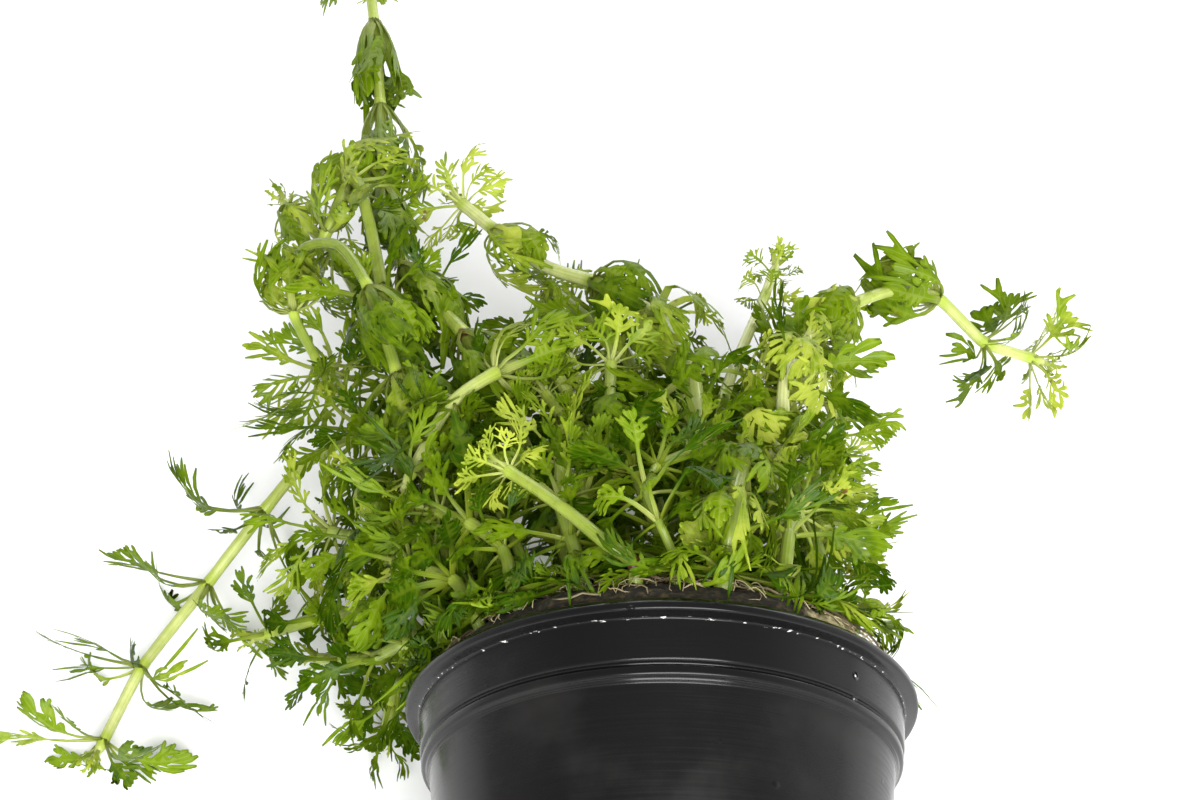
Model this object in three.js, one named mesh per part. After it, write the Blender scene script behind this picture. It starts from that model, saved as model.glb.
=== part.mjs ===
// A bunch of Limnophila heterophylla, an aquarium plant, in its black nursery pot. The pot lies on
// its side and the stems spill out of its mouth. Millimetres, +Z up, with the mouth towards +Y.
import * as THREE from 'three';

// Driving dimensions of the pot, a thin tapered cup with a lip, a collar and a stacking bead
const LIP_RADIUS = 46;
const BASE_RADIUS = 33;
const POT_HEIGHT = 80;
const WALL = 1.2;
const LIP_DEPTH = 2.8;
const COLLAR_DEPTH = 10.5;
const BEAD_DEPTH = 13.2;
const LIP_WIDTH = 2.6;
const LIP_ROUND = 1.5;
const COLLAR_RADIUS = 43.6;
const COLLAR_FOOT_RADIUS = 43.2;
const BEAD_RADIUS = 42.9;
const WALL_TOP_RADIUS = 41.5;
const BEAD_SLOPE = 0.6;
const BEAD_ROUND = 0.8;
const LIP_SLOPE = 0.3;
const INNER_STEP = 1;
const FOOT_HEIGHT = 1.5;
const FOOT_WIDTH = 2.5;
const DRAIN_RADIUS = 6;
const POT_SIDES = 28;

// The plug of rock wool and soil that fills the pot and bulges out of its mouth
const GAP = 0.35;
const PLUG_RADIUS = LIP_RADIUS - 3.9;
const PLUG_BULGE = 10.5;
const PLUG_LUMP = 1.6;
const LUMPS_ACROSS = 0.17;
const LUMPS_UP = 0.15;
const LUMPS_SKEW = 0.06;
const LUMPS_START = 1.3;
const PLUG_SIDES = 14;
const PLUG_TURN = 0.25;

// Stems and leaves
const NODE_HALF = 0.9;
const NODE_SWELL = 1.12;
const TIP_TAPER = 0.72;
const BUD_LENGTH = 3.5;
const LONG_SPAN = 23;
const ROOT_RISE = 3;
const BLADE_DEPTH = 0.9;
const TABLE_CLEARANCE = 0.25;
const OWN_GAP = 0.12;

// The pot rests on a flat of its lip and a flat of its foot, so its axis leans by the taper
const FLAT = Math.cos(Math.PI / POT_SIDES);
const LEAN = Math.atan(FLAT * (LIP_RADIUS - BASE_RADIUS) / (POT_HEIGHT - LIP_DEPTH));
const AXIS = new THREE.Vector3(0, Math.cos(LEAN), Math.sin(LEAN));
const ACROSS = new THREE.Vector3(1, 0, 0);
const MOUTH_UP = new THREE.Vector3(0, -Math.sin(LEAN), Math.cos(LEAN));
const LIP_REST = FLAT * LIP_RADIUS * Math.cos(LEAN) + LIP_DEPTH * Math.sin(LEAN);
const MOUTH = new THREE.Vector3(0, 0, LIP_REST);

const plant = new THREE.Group();

function addMesh(name, geometry, color, roughness) {
  const material = new THREE.MeshStandardMaterial({ color, roughness, metalness: 0 });
  const mesh = new THREE.Mesh(geometry, material);
  mesh.name = name;
  plant.add(mesh);
  return mesh;
}

function meshGeometry(points, faces) {
  const geometry = new THREE.BufferGeometry();
  geometry.setAttribute('position', new THREE.Float32BufferAttribute(points.flatMap(p => p.toArray()), 3));
  geometry.setIndex(faces.flat());
  geometry.computeVertexNormals();
  return geometry;
}

// A point in the mouth's own directions: across, up the mouth, and out along the pot's axis
function fromMouth(across, up, out) {
  return MOUTH.clone()
    .addScaledVector(ACROSS, across)
    .addScaledVector(MOUTH_UP, up)
    .addScaledVector(AXIS, out);
}

// Pot: a profile turned round the axis, outside first, then back down the inside
const collar = POT_HEIGHT - COLLAR_DEPTH;
const bead = POT_HEIGHT - BEAD_DEPTH;
const lip = POT_HEIGHT - LIP_DEPTH;
const potProfile = [
  [DRAIN_RADIUS, FOOT_HEIGHT],
  [BASE_RADIUS - FOOT_WIDTH, FOOT_HEIGHT],
  [BASE_RADIUS - FOOT_WIDTH, 0],
  [BASE_RADIUS, 0],
  [WALL_TOP_RADIUS, bead - BEAD_SLOPE],
  [BEAD_RADIUS, bead],
  [BEAD_RADIUS, collar - BEAD_ROUND],
  [COLLAR_FOOT_RADIUS, collar],
  [COLLAR_RADIUS, lip - LIP_SLOPE],
  [LIP_RADIUS, lip],
  [LIP_RADIUS, POT_HEIGHT - LIP_ROUND],
  [LIP_RADIUS - LIP_ROUND, POT_HEIGHT],
  [LIP_RADIUS - LIP_WIDTH, POT_HEIGHT],
  [COLLAR_RADIUS - WALL, lip - INNER_STEP],
  [COLLAR_FOOT_RADIUS - WALL, collar],
  [WALL_TOP_RADIUS - WALL, bead - INNER_STEP],
  [BASE_RADIUS - WALL, FOOT_HEIGHT + WALL],
  [DRAIN_RADIUS, FOOT_HEIGHT + WALL],
  [DRAIN_RADIUS, FOOT_HEIGHT],
].map(([radius, height]) => new THREE.Vector2(radius, height));

const pot = addMesh('pot', new THREE.LatheGeometry(potProfile, POT_SIDES), 0x121314, 0.4);
const halfSide = new THREE.Quaternion().setFromAxisAngle(new THREE.Vector3(0, 1, 0), Math.PI / POT_SIDES);
const lyingDown = new THREE.Quaternion().setFromUnitVectors(new THREE.Vector3(0, 1, 0), AXIS);
pot.quaternion.copy(lyingDown).multiply(halfSide);
pot.position.copy(fromMouth(0, 0, -POT_HEIGHT));
pot.updateMatrixWorld();

// Growing medium: the same turned form inside the pot, and a lumpy cushion outside its mouth
function plugBulge(across, up) {
  const reach = Math.min(1, Math.hypot(across, up) / PLUG_RADIUS);
  const wave = Math.sin(across * LUMPS_ACROSS + LUMPS_START) * Math.cos(up * LUMPS_UP - across * LUMPS_SKEW);
  const lump = 0.5 + 0.5 * wave;
  return PLUG_BULGE * Math.sqrt(1 - reach ** 4) - PLUG_LUMP * lump * Math.sqrt(1 - reach);
}

const plugRings = [
  [BASE_RADIUS - WALL - GAP, -POT_HEIGHT + FOOT_HEIGHT + WALL + GAP],
  [WALL_TOP_RADIUS - WALL - GAP, -BEAD_DEPTH - INNER_STEP],
  [COLLAR_FOOT_RADIUS - WALL - GAP, -COLLAR_DEPTH],
  [PLUG_RADIUS, -LIP_DEPTH],
  [PLUG_RADIUS, 0],
];
const plugDomeRings = [0.97, 0.88, 0.7, 0.45, 0.2];
const plugPoints = [fromMouth(0, 0, plugRings[0][1])];

function addPlugRing(radius, outAt) {
  for (let i = 0; i < PLUG_SIDES; i++) {
    const angle = Math.PI / 2 + (2 * (i + PLUG_TURN) * Math.PI) / PLUG_SIDES;
    const across = radius * Math.cos(angle);
    const up = radius * Math.sin(angle);
    plugPoints.push(fromMouth(across, up, outAt(across, up)));
  }
}

plugRings.forEach(([radius, out]) => addPlugRing(radius, () => out));
plugDomeRings.forEach(share => addPlugRing(share * PLUG_RADIUS, plugBulge));
plugPoints.push(fromMouth(0, 0, plugBulge(0, 0)));

function plugFaces() {
  const faces = [];
  const rings = plugRings.length + plugDomeRings.length;
  const last = plugPoints.length - 1;
  for (let i = 0; i < PLUG_SIDES; i++) {
    const next = (i + 1) % PLUG_SIDES;
    faces.push([0, 1 + i, 1 + next]);
    for (let ring = 0; ring < rings - 1; ring++) {
      const low = 1 + ring * PLUG_SIDES;
      const high = low + PLUG_SIDES;
      faces.push([low + i, high + i, high + next], [low + i, high + next, low + next]);
    }
    const top = 1 + (rings - 1) * PLUG_SIDES;
    faces.push([top + i, last, top + next]);
  }
  return faces;
}

const plug = addMesh('growing_medium', meshGeometry(plugPoints, plugFaces()), 0x8d8058, 0.95);

// A repeatable random number between two bounds
const SEED_FACTOR = 1664525;
const SEED_STEP = 1013904223;
const SEED_RANGE = 2 ** 32;
let seed = 20;
function between(low, high) {
  seed = (seed * SEED_FACTOR + SEED_STEP) % SEED_RANGE;
  return low + (high - low) * seed / SEED_RANGE;
}

// Triangles that are already placed, in a coarse grid, so that a new leaf can be kept clear of them
const CELL = 8;
const grid = new Map();

function cellsOf(box) {
  const keys = [];
  for (let x = Math.floor(box.min.x / CELL); x <= Math.floor(box.max.x / CELL); x++) {
    for (let y = Math.floor(box.min.y / CELL); y <= Math.floor(box.max.y / CELL); y++) {
      for (let z = Math.floor(box.min.z / CELL); z <= Math.floor(box.max.z / CELL); z++) {
        keys.push(`${x},${y},${z}`);
      }
    }
  }
  return keys;
}

function place(owner, corners, points) {
  const [a, b, c] = corners.map(index => points[index]);
  const triangle = new THREE.Triangle(a, b, c);
  const box = new THREE.Box3().setFromPoints([a, b, c]);
  const solid = { owner, corners, triangle, box };
  for (const key of cellsOf(box)) {
    if (!grid.has(key)) grid.set(key, []);
    grid.get(key).push(solid);
  }
}

function placeMesh(mesh) {
  const index = mesh.geometry.getIndex().array;
  const source = mesh.geometry.getAttribute('position');
  const points = [];
  for (let i = 0; i < source.count; i++) {
    points.push(new THREE.Vector3().fromBufferAttribute(source, i).applyMatrix4(mesh.matrixWorld));
  }
  for (let i = 0; i < index.length; i += 3) {
    const corners = [index[i], index[i + 1], index[i + 2]];
    const [a, b, c] = corners.map(corner => points[corner]);
    if (new THREE.Triangle(a, b, c).getArea() > 0) place(mesh.name, corners, points);
  }
}

const hit = new THREE.Vector3();
const otherHit = new THREE.Vector3();

function edgesOf(triangle) {
  return [
    new THREE.Line3(triangle.a, triangle.b),
    new THREE.Line3(triangle.b, triangle.c),
    new THREE.Line3(triangle.c, triangle.a),
  ];
}

function edgeCrosses(edge, triangle) {
  const along = edge.delta(new THREE.Vector3());
  const length = along.length();
  const ray = new THREE.Ray(edge.start, along.divideScalar(length));
  const crossing = ray.intersectTriangle(triangle.a, triangle.b, triangle.c, false, hit);
  return crossing !== null && crossing.distanceTo(edge.start) <= length;
}

function tooClose(one, two, gap) {
  const limit = gap * gap;
  for (const [from, to] of [[one, two], [two, one]]) {
    for (const corner of [from.a, from.b, from.c]) {
      if (to.closestPointToPoint(corner, hit).distanceToSquared(corner) < limit) return true;
    }
  }
  const ones = edgesOf(one);
  const twos = edgesOf(two);
  for (const edge of ones) {
    if (twos.some(other => edge.distanceSqToLine3(other, hit, otherHit) < limit)) return true;
  }
  return ones.some(edge => edgeCrosses(edge, two)) || twos.some(edge => edgeCrosses(edge, one));
}

// A face of a leaf's root may touch the parts of its own stem that share its corners
function isFree(owner, corners, points, shared) {
  const [a, b, c] = corners.map(index => points[index]);
  const triangle = new THREE.Triangle(a, b, c);
  const box = new THREE.Box3().setFromPoints([a, b, c]).expandByScalar(GAP);
  const seen = new Set();
  for (const key of cellsOf(box)) {
    for (const solid of grid.get(key) ?? []) {
      if (seen.has(solid) || !box.intersectsBox(solid.box)) continue;
      seen.add(solid);
      const own = solid.owner === owner;
      if (own && solid.corners.some(corner => shared.includes(corner))) continue;
      if (tooClose(triangle, solid.triangle, own ? OWN_GAP : GAP)) return false;
    }
  }
  return true;
}

// The ways in which a whorl holds its leaves, as angles from the stem's direction of growth in degrees:
// open, young and short, closed back towards the root like an umbrella, hanging close round the stem,
// and the small star of a tip
const FORMS = {
  o: { bend: [62, 88], share: 0.5, length: 1, wave: 12 },
  c: { bend: [119, 174], share: 0.31, length: 1, wave: 6 },
  h: { bend: [134, 177], share: 0.28, length: 1, wave: 3 },
  y: { bend: [64, 94], share: 0.5, length: 0.6, wave: 10 },
  s: { bend: [58, 74], share: 0.5, length: 0.62, wave: 8 },
};
const SWINGS = [
  [0, 0], [16, 0], [-16, 0], [0, 28], [0, -28], [30, 18], [30, -18], [-30, 18], [-30, -18], [48, 0], [-44, 0],
];
const LENGTHS = [1, 0.84, 0.68, 0.54];
const SIZE_RANGE = [0.86, 1.12];
const DROOP_SHARE = 1.4;
const SWAY = 12;
const TWIST = 0.35;

// A stem is a tube of flat sides through its route, from the plug to the bud. At each whorl it has a
// short band, and every side of the band grows into one leaf. It starts square to the plug's surface.
const SLOPE_STEP = 0.5;

function rootOf([across, up]) {
  const at = (x, y) => fromMouth(x, y, plugBulge(x, y));
  const slopeAcross = at(across + SLOPE_STEP, up).sub(at(across - SLOPE_STEP, up));
  const slopeUp = at(across, up + SLOPE_STEP).sub(at(across, up - SLOPE_STEP));
  const normal = slopeUp.cross(slopeAcross).normalize();
  if (normal.dot(AXIS) < 0) normal.negate();
  const foot = at(across, up);
  return [foot.clone().addScaledVector(normal, GAP), foot.clone().addScaledVector(normal, ROOT_RISE)];
}

function routeOf(stem) {
  const points = rootOf(stem.root);
  const forms = ['.', '.'];
  stem.path.forEach((point, i) => {
    points.push(new THREE.Vector3(...point));
    forms.push(stem.whorls[i]);
  });
  return { points, forms, curve: new THREE.CatmullRomCurve3(points, false, 'centripetal') };
}

function ringsOf(stem) {
  const { points, forms, curve } = routeOf(stem);
  const last = points.length - 1;
  const rings = [];
  const addRing = (share, offset, swell, form) => {
    const along = curve.getTangent(share);
    const center = curve.getPoint(share).addScaledVector(along, offset);
    const radius = stem.girth * swell * (1 - (1 - TIP_TAPER) * share);
    rings.push({ center, along, radius, form });
  };
  points.forEach((point, i) => {
    const share = i / last;
    if (i > 0 && points[i - 1].distanceTo(point) > LONG_SPAN) addRing((i - 0.5) / last, 0, 1, '.');
    if (forms[i] === '.') {
      addRing(share, 0, 1, '.');
    } else {
      addRing(share, -NODE_HALF, NODE_SWELL, forms[i]);
      addRing(share, NODE_HALF, NODE_SWELL, '.');
    }
  });
  return rings;
}

function buildTube(stem) {
  const rings = ringsOf(stem);
  const sides = stem.sides;
  const points = [];
  const faces = [];
  const bands = [];
  let outward = new THREE.Vector3(0, 0, 1).cross(rings[0].along).normalize();
  rings.forEach((ring, index) => {
    outward = outward.clone().addScaledVector(ring.along, -outward.dot(ring.along)).normalize();
    const sideways = ring.along.clone().cross(outward);
    for (let i = 0; i < sides; i++) {
      const angle = (2 * Math.PI * i) / sides;
      const corner = ring.center.clone()
        .addScaledVector(outward, ring.radius * Math.cos(angle))
        .addScaledVector(sideways, ring.radius * Math.sin(angle));
      points.push(corner);
    }
    if (index === 0) return;
    const low = (index - 1) * sides;
    for (let i = 0; i < sides; i++) {
      const next = (i + 1) % sides;
      const quad = [low + i, low + next, low + sides + next, low + sides + i];
      const band = rings[index - 1].form;
      if (band === '.') faces.push(...splitQuad(quad));
      else bands.push({ quad, form: band, along: ring.along });
    }
  });
  for (let i = 1; i < sides - 1; i++) faces.push([0, i + 1, i]);
  const end = rings[rings.length - 1];
  const top = points.length - sides;
  points.push(end.center.clone().addScaledVector(end.along, BUD_LENGTH));
  for (let i = 0; i < sides; i++) faces.push([top + i, top + (i + 1) % sides, top + sides]);
  return { ...stem, points, faces, bands };
}

function splitQuad([a, b, c, d]) {
  return [[a, b, c], [a, c, d]];
}

// The four points of a leaf beyond its root: the blade's left and right edge, its midrib and its tip
function leafPoints(stem, band, swing, lengthShare, leaf) {
  const [a, b, c, d] = band.quad.map(index => stem.points[index]);
  const root = a.clone().add(b).add(c).add(d).multiplyScalar(0.25);
  const wide = b.clone().sub(a).normalize();
  const out = wide.clone().cross(band.along).normalize();
  const form = FORMS[band.form];
  const turn = (degrees, sway) => {
    const angle = THREE.MathUtils.degToRad(degrees);
    return out.clone().multiplyScalar(Math.sin(angle))
      .addScaledVector(band.along, Math.cos(angle))
      .addScaledVector(wide, Math.tan(THREE.MathUtils.degToRad(sway)))
      .normalize();
  };
  const length = stem.leaf[0] * form.length * leaf.size * lengthShare;
  const first = turn(form.bend[0] + leaf.pitch + swing[0], swing[1] * 0.5 + leaf.sway * 0.5);
  const second = turn(form.bend[1] + leaf.droop + swing[0], swing[1] + leaf.sway);
  const middle = root.clone().addScaledVector(first, length * form.share);
  middle.z = Math.max(middle.z, 2 * TABLE_CLEARANCE + BLADE_DEPTH);
  const tip = middle.clone().addScaledVector(second, length * (1 - form.share));
  tip.z = Math.max(tip.z, TABLE_CLEARANCE);
  const run = tip.clone().sub(root).normalize();
  const side = wide.clone().addScaledVector(run, -wide.dot(run)).normalize().applyAxisAngle(run, leaf.twist);
  const face = run.clone().cross(side);
  const half = 0.5 * stem.leaf[1] * leaf.size * Math.sqrt(lengthShare);
  const edges = [
    middle.clone().addScaledVector(side, -half),
    middle.clone().addScaledVector(side, half),
    middle.clone().addScaledVector(face, -BLADE_DEPTH),
  ];
  const sink = TABLE_CLEARANCE - Math.min(...edges.map(point => point.z));
  if (sink > 0) edges.forEach(point => { point.z += sink; });
  return [...edges, tip];
}

function leafFaces([a, b, c, d], first) {
  const [left, right, rib, tip] = [first, first + 1, first + 2, first + 3];
  const root = [
    [d, left, right], [d, right, c], [a, b, rib], [a, rib, left], [b, right, rib], [a, left, d],
    [b, c, right],
  ];
  const blade = [[left, tip, right], [left, rib, tip], [rib, right, tip]];
  return { root, blade };
}

function growLeaf(stem, band) {
  const leaf = {
    size: between(...SIZE_RANGE),
    pitch: between(-1, 1) * FORMS[band.form].wave,
    droop: between(-DROOP_SHARE, DROOP_SHARE) * FORMS[band.form].wave,
    sway: between(-SWAY, SWAY),
    twist: between(-TWIST, TWIST),
  };
  const first = stem.points.length;
  const { root, blade } = leafFaces(band.quad, first);
  for (const share of LENGTHS) {
    for (const swing of SWINGS) {
      const points = [...stem.points, ...leafPoints(stem, band, swing, share, leaf)];
      const free = blade.every(face => isFree(stem.name, face, points, []))
        && root.every(face => isFree(stem.name, face, points, band.quad));
      if (!free) continue;
      stem.points.push(...points.slice(first));
      stem.faces.push(...root, ...blade);
      [...root, ...blade].forEach(face => place(stem.name, face, stem.points));
      return;
    }
  }
  stem.faces.push(...splitQuad(band.quad));
}

// The stems. Root: across and up the mouth, on the plug. Path: the points that the stem passes. Whorls:
// one letter for each of them, a form from the list above, or a dot where the stem is bare.
const STEMS = {
  // Over the left edge of the pot and up, away from it
  tall_stem: {
    root: [-14, 14], girth: 1.8, leaf: [22, 6.5], sides: 6,
    path: [[-24, 42, 64], [-37, 76, 58], [-50, 102, 48], [-56, 130, 42], [-58, 157, 38], [-61, 187, 34],
      [-63, 203, 33]],
    whorls: '.cchhhs',
  },
  cup_stem: {
    root: [-24, 6], girth: 1.6, leaf: [19, 6.5],
    path: [[-34, 28, 53], [-43, 44, 58], [-49, 62, 63], [-55, 80, 67], [-62, 93, 65], [-70, 97, 58],
      [-71, 87, 52], [-66, 78, 47]],
    whorls: '.ohh..ho',
  },
  star_stem: {
    root: [-20, -12], girth: 1.6, leaf: [19, 7],
    path: [[-27, 32, 43], [-36, 50, 46], [-44, 66, 46], [-56, 91, 45], [-65, 109, 45], [-75, 124, 42]],
    whorls: '.o.ccc',
  },
  droop_stem: {
    root: [-18, -2], girth: 1.7, leaf: [20, 7],
    path: [[-28, 30, 51], [-36, 46, 54], [-46, 66, 54], [-53, 88, 53], [-57, 107, 57], [-61, 119, 55],
      [-66, 111, 49]],
    whorls: '..ho.cc',
  },
  left_column_stem: {
    root: [-31, 4], girth: 1.6, leaf: [19, 7],
    path: [[-40, 34, 48], [-53, 58, 49], [-61, 73, 42], [-64, 84, 36]],
    whorls: '..oo',
  },
  long_left_stem: {
    root: [-28, -8], girth: 1.8, leaf: [20, 6], sides: 6,
    path: [[-36, 30, 43], [-43, 50, 45], [-57, 69, 37], [-70, 69, 26], [-78, 64, 18], [-89, 51, 11],
      [-101, 34, 6.5], [-107, 18, 5]],
    whorls: '..o.oooo',
  },
  // The stars and arches on top of the clump, left to right
  red_star_stem: {
    root: [-22, 20], girth: 1.3, leaf: [15, 5],
    path: [[-28, 28, 62], [-36, 44, 62], [-43, 55, 65]],
    whorls: '.oc',
  },
  green_star_stem: {
    root: [-31, 12], girth: 1.4, leaf: [15, 5],
    path: [[-40, 27, 55], [-49, 35, 55], [-55, 41, 57]],
    whorls: 'o.c',
  },
  arched_stem: {
    root: [-8, 8], girth: 1.8, leaf: [18, 7],
    path: [[-10, 34, 56], [-14, 54, 57], [-21, 62, 66], [-30, 55, 72], [-38, 48, 72], [-42, 42, 69],
      [-45, 38, 65]],
    whorls: '.o.c..c',
  },
  thick_stem: {
    root: [-5, 37], girth: 2.1, leaf: [15, 5],
    path: [[-10, 4.5, 88], [-16, 11, 87.5], [-22, 17.5, 86], [-27, 23, 84]],
    whorls: '...s',
  },
  stub_stem: {
    root: [-14, 30], girth: 1.7, leaf: [15, 5],
    path: [[-16, 14, 76], [-18, 24, 74], [-18, 34, 72]],
    whorls: '.oo',
  },
  hanging_stem: {
    root: [-16, 24], girth: 1.4, leaf: [17, 6],
    path: [[-14, 28, 69], [-15, 39, 69], [-18, 48, 68], [-21, 54, 67]],
    whorls: 'o.cs',
  },
  centre_star_stem: {
    root: [2, 28], girth: 1.5, leaf: [17, 7],
    path: [[-1, 18, 74], [-5, 31, 74], [-9, 46, 74], [-9, 57, 72]],
    whorls: '.ocs',
  },
  thin_stem: {
    root: [2, 35], girth: 1, leaf: [12, 4],
    path: [[-1, 9, 88], [-3, 16, 87], [-1, 24, 84], [5, 30, 81]],
    whorls: '..oo',
  },
  rim_stem: {
    root: [10, 35], girth: 2, leaf: [18, 7],
    path: [[11, 7, 87], [12, 15, 87], [14, 26, 83]],
    whorls: '.cc',
  },
  bright_stem: {
    root: [22, 18], girth: 1.7, leaf: [18, 7],
    path: [[21, 26, 63], [20, 37, 67], [22, 44, 71], [23, 54, 71], [27, 65, 68]],
    whorls: '.oc.c',
  },
  // Away from the pot, over the middle of the clump
  upper_stem: {
    root: [9, 24], girth: 1.8, leaf: [19, 6.5],
    path: [[8, 26, 70], [7, 42, 71], [6, 58, 68], [0, 77, 62], [-12, 91, 56], [-22, 99, 52], [-32, 111, 49],
      [-39, 121, 46]],
    whorls: '.occh.hs',
  },
  second_upper_stem: {
    root: [2, 12], girth: 1.7, leaf: [18, 7],
    path: [[0, 30, 58], [-2, 47, 60], [-3, 63, 57], [-7, 79, 51], [-16, 93, 46], [-21, 101, 43]],
    whorls: '..oo.c',
  },
  bud_stem: {
    root: [14, 16], girth: 1.6, leaf: [9, 4.5],
    path: [[14, 30, 63], [11, 44, 65], [12, 56, 63], [15, 68, 60], [21, 88, 55], [23, 95, 54]],
    whorls: '..ccys',
  },
  long_right_stem: {
    root: [20, 4], girth: 1.8, leaf: [20, 6.5], sides: 6,
    path: [[22, 30, 55], [22, 48, 57], [25, 65, 55], [30, 81, 51], [39, 94, 46], [49, 103, 40], [58, 106, 34],
      [68, 101, 26], [78, 101, 21]],
    whorls: '.ooch.hys',
  },
  // Down the right side of the clump
  right_side_stem: {
    root: [28, 0], girth: 1.5, leaf: [13, 5.5],
    path: [[29, 28, 46], [29, 46, 46], [31, 60, 46], [34, 68, 43]],
    whorls: '.ooo',
  },
  lower_right_stem: {
    root: [30, 16], girth: 1.5, leaf: [12, 5],
    path: [[28, 23, 62], [29, 32, 57], [36, 32, 49]],
    whorls: '.os',
  },
  right_front_stem: {
    root: [20, 29], girth: 1.6, leaf: [12, 6],
    path: [[22, 15, 76], [24, 23, 72], [25, 31, 66]],
    whorls: '.oo',
  },
  right_rim_stem: {
    root: [33, 10], girth: 1.4, leaf: [9, 4],
    path: [[34, 16, 52], [35, 20, 45]],
    whorls: 'oo',
  },
  right_low_stem: {
    root: [26, -10], girth: 1.6, leaf: [13, 5.5],
    path: [[28, 32, 32], [30, 50, 27], [32, 64, 21], [34, 76, 15]],
    whorls: '.ooo',
  },
  // Down the left side of the clump, to the table
  left_front_stem: {
    root: [-25, 28], girth: 1.5, leaf: [18, 6],
    path: [[-28, 14, 73], [-34, 22, 70], [-40, 29, 64]],
    whorls: '.oo',
  },
  left_rim_stem: {
    root: [-32, 20], girth: 1.4, leaf: [16, 6],
    path: [[-37, 14, 64], [-45, 21, 59]],
    whorls: 'oo',
  },
  left_upper_stem: {
    root: [-36, 5], girth: 1.5, leaf: [18, 6],
    path: [[-45, 24, 50], [-54, 36, 45], [-62, 44, 38]],
    whorls: 'ooo',
  },
  left_middle_stem: {
    root: [-38, -3], girth: 1.5, leaf: [12, 6],
    path: [[-46, 16, 41], [-53, 20, 31], [-60, 26, 21], [-65, 31, 14]],
    whorls: 'o.oo',
  },
  brown_left_stem: {
    root: [-33, -17], girth: 1.7, leaf: [14, 5.5],
    path: [[-43, 24, 31], [-55, 33, 26], [-65, 38, 18], [-76, 39, 11]],
    whorls: '.ooo',
  },
  bottom_left_stem: {
    root: [-37, -11], girth: 1.5, leaf: [11, 5.5],
    path: [[-44, 13, 33], [-49, 18, 25], [-51, 20, 16], [-52, 19, 9]],
    whorls: '..oo',
  },
  // Under the clump, down to the table in front of the mouth
  middle_stem: {
    root: [-4, -4], girth: 1.6, leaf: [20, 7],
    path: [[-6, 34, 46], [-10, 54, 44], [-14, 74, 40], [-17, 90, 34]],
    whorls: '.ooo',
  },
  far_stem: {
    root: [10, 5], girth: 1.6, leaf: [14, 6.5],
    path: [[10, 34, 52], [10, 52, 49], [8, 66, 43], [6, 78, 35]],
    whorls: '.ooy',
  },
  middle_right_stem: {
    root: [13, -7], girth: 1.6, leaf: [15, 6.5],
    path: [[14, 34, 41], [16, 52, 38], [19, 68, 33], [21, 80, 27]],
    whorls: '.ooy',
  },
  low_stem: {
    root: [4, -18], girth: 1.6, leaf: [19, 7],
    path: [[4, 32, 28], [2, 50, 24], [0, 68, 19], [1, 84, 15]],
    whorls: 'oooo',
  },
  low_left_stem: {
    root: [-14, -22], girth: 1.6, leaf: [19, 7],
    path: [[-20, 32, 26], [-28, 50, 22], [-36, 66, 18], [-44, 80, 15]],
    whorls: 'oooo',
  },
  low_right_stem: {
    root: [17, -22], girth: 1.6, leaf: [18, 7],
    path: [[21, 30, 22], [25, 46, 18], [29, 62, 15]],
    whorls: '.oo',
  },
  left_low_stem: {
    root: [-26, -22], girth: 1.6, leaf: [18, 6],
    path: [[-35, 28, 24], [-45, 42, 20], [-55, 54, 16]],
    whorls: 'ooo',
  },
  floor_left_stem: {
    root: [-6, -34], girth: 1.5, leaf: [17, 6],
    path: [[-8, 22, 12], [-12, 38, 10], [-18, 54, 9]],
    whorls: '.o.',
  },
  floor_right_stem: {
    root: [10, -34], girth: 1.5, leaf: [17, 6],
    path: [[12, 22, 12], [14, 38, 10], [14, 54, 9]],
    whorls: '.o.',
  },
};

// All tubes are placed before any leaf, and the leaves then find their way between them
placeMesh(pot);
placeMesh(plug);
const tubes = Object.entries(STEMS).map(([name, stem]) => buildTube({ name, sides: 5, ...stem }));
for (const tube of tubes) {
  const bandFaces = tube.bands.flatMap(band => splitQuad(band.quad));
  [...tube.faces, ...bandFaces].forEach(face => place(tube.name, face, tube.points));
}
for (const tube of tubes) {
  tube.bands.forEach(band => growLeaf(tube, band));
  addMesh(tube.name, meshGeometry(tube.points, tube.faces), 0x7fb03a, 0.5);
}

// The origin is at the bottom centre of the whole object's box
const box = new THREE.Box3().setFromObject(plant, true);
plant.position.set(-(box.min.x + box.max.x) / 2, -(box.min.y + box.max.y) / 2, -box.min.z);

export default plant;
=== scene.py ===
import math

import bpy
import numpy as np
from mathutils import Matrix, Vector, noise


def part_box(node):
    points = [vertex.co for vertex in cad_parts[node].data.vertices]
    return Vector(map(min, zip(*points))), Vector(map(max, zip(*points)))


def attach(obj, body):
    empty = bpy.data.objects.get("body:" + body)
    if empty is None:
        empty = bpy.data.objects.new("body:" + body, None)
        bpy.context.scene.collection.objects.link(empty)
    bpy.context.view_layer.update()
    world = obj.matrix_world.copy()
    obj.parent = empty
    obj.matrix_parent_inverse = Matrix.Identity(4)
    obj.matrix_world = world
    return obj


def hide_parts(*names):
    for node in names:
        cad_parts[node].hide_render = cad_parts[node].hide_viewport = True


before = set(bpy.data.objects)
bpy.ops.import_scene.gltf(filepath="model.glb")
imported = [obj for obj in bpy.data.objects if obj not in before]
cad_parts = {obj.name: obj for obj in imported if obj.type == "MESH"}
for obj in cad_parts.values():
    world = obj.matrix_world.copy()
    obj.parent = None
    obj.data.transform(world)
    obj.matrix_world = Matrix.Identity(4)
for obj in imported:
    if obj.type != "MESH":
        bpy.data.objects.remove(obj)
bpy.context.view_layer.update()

MM = 0.001

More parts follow.
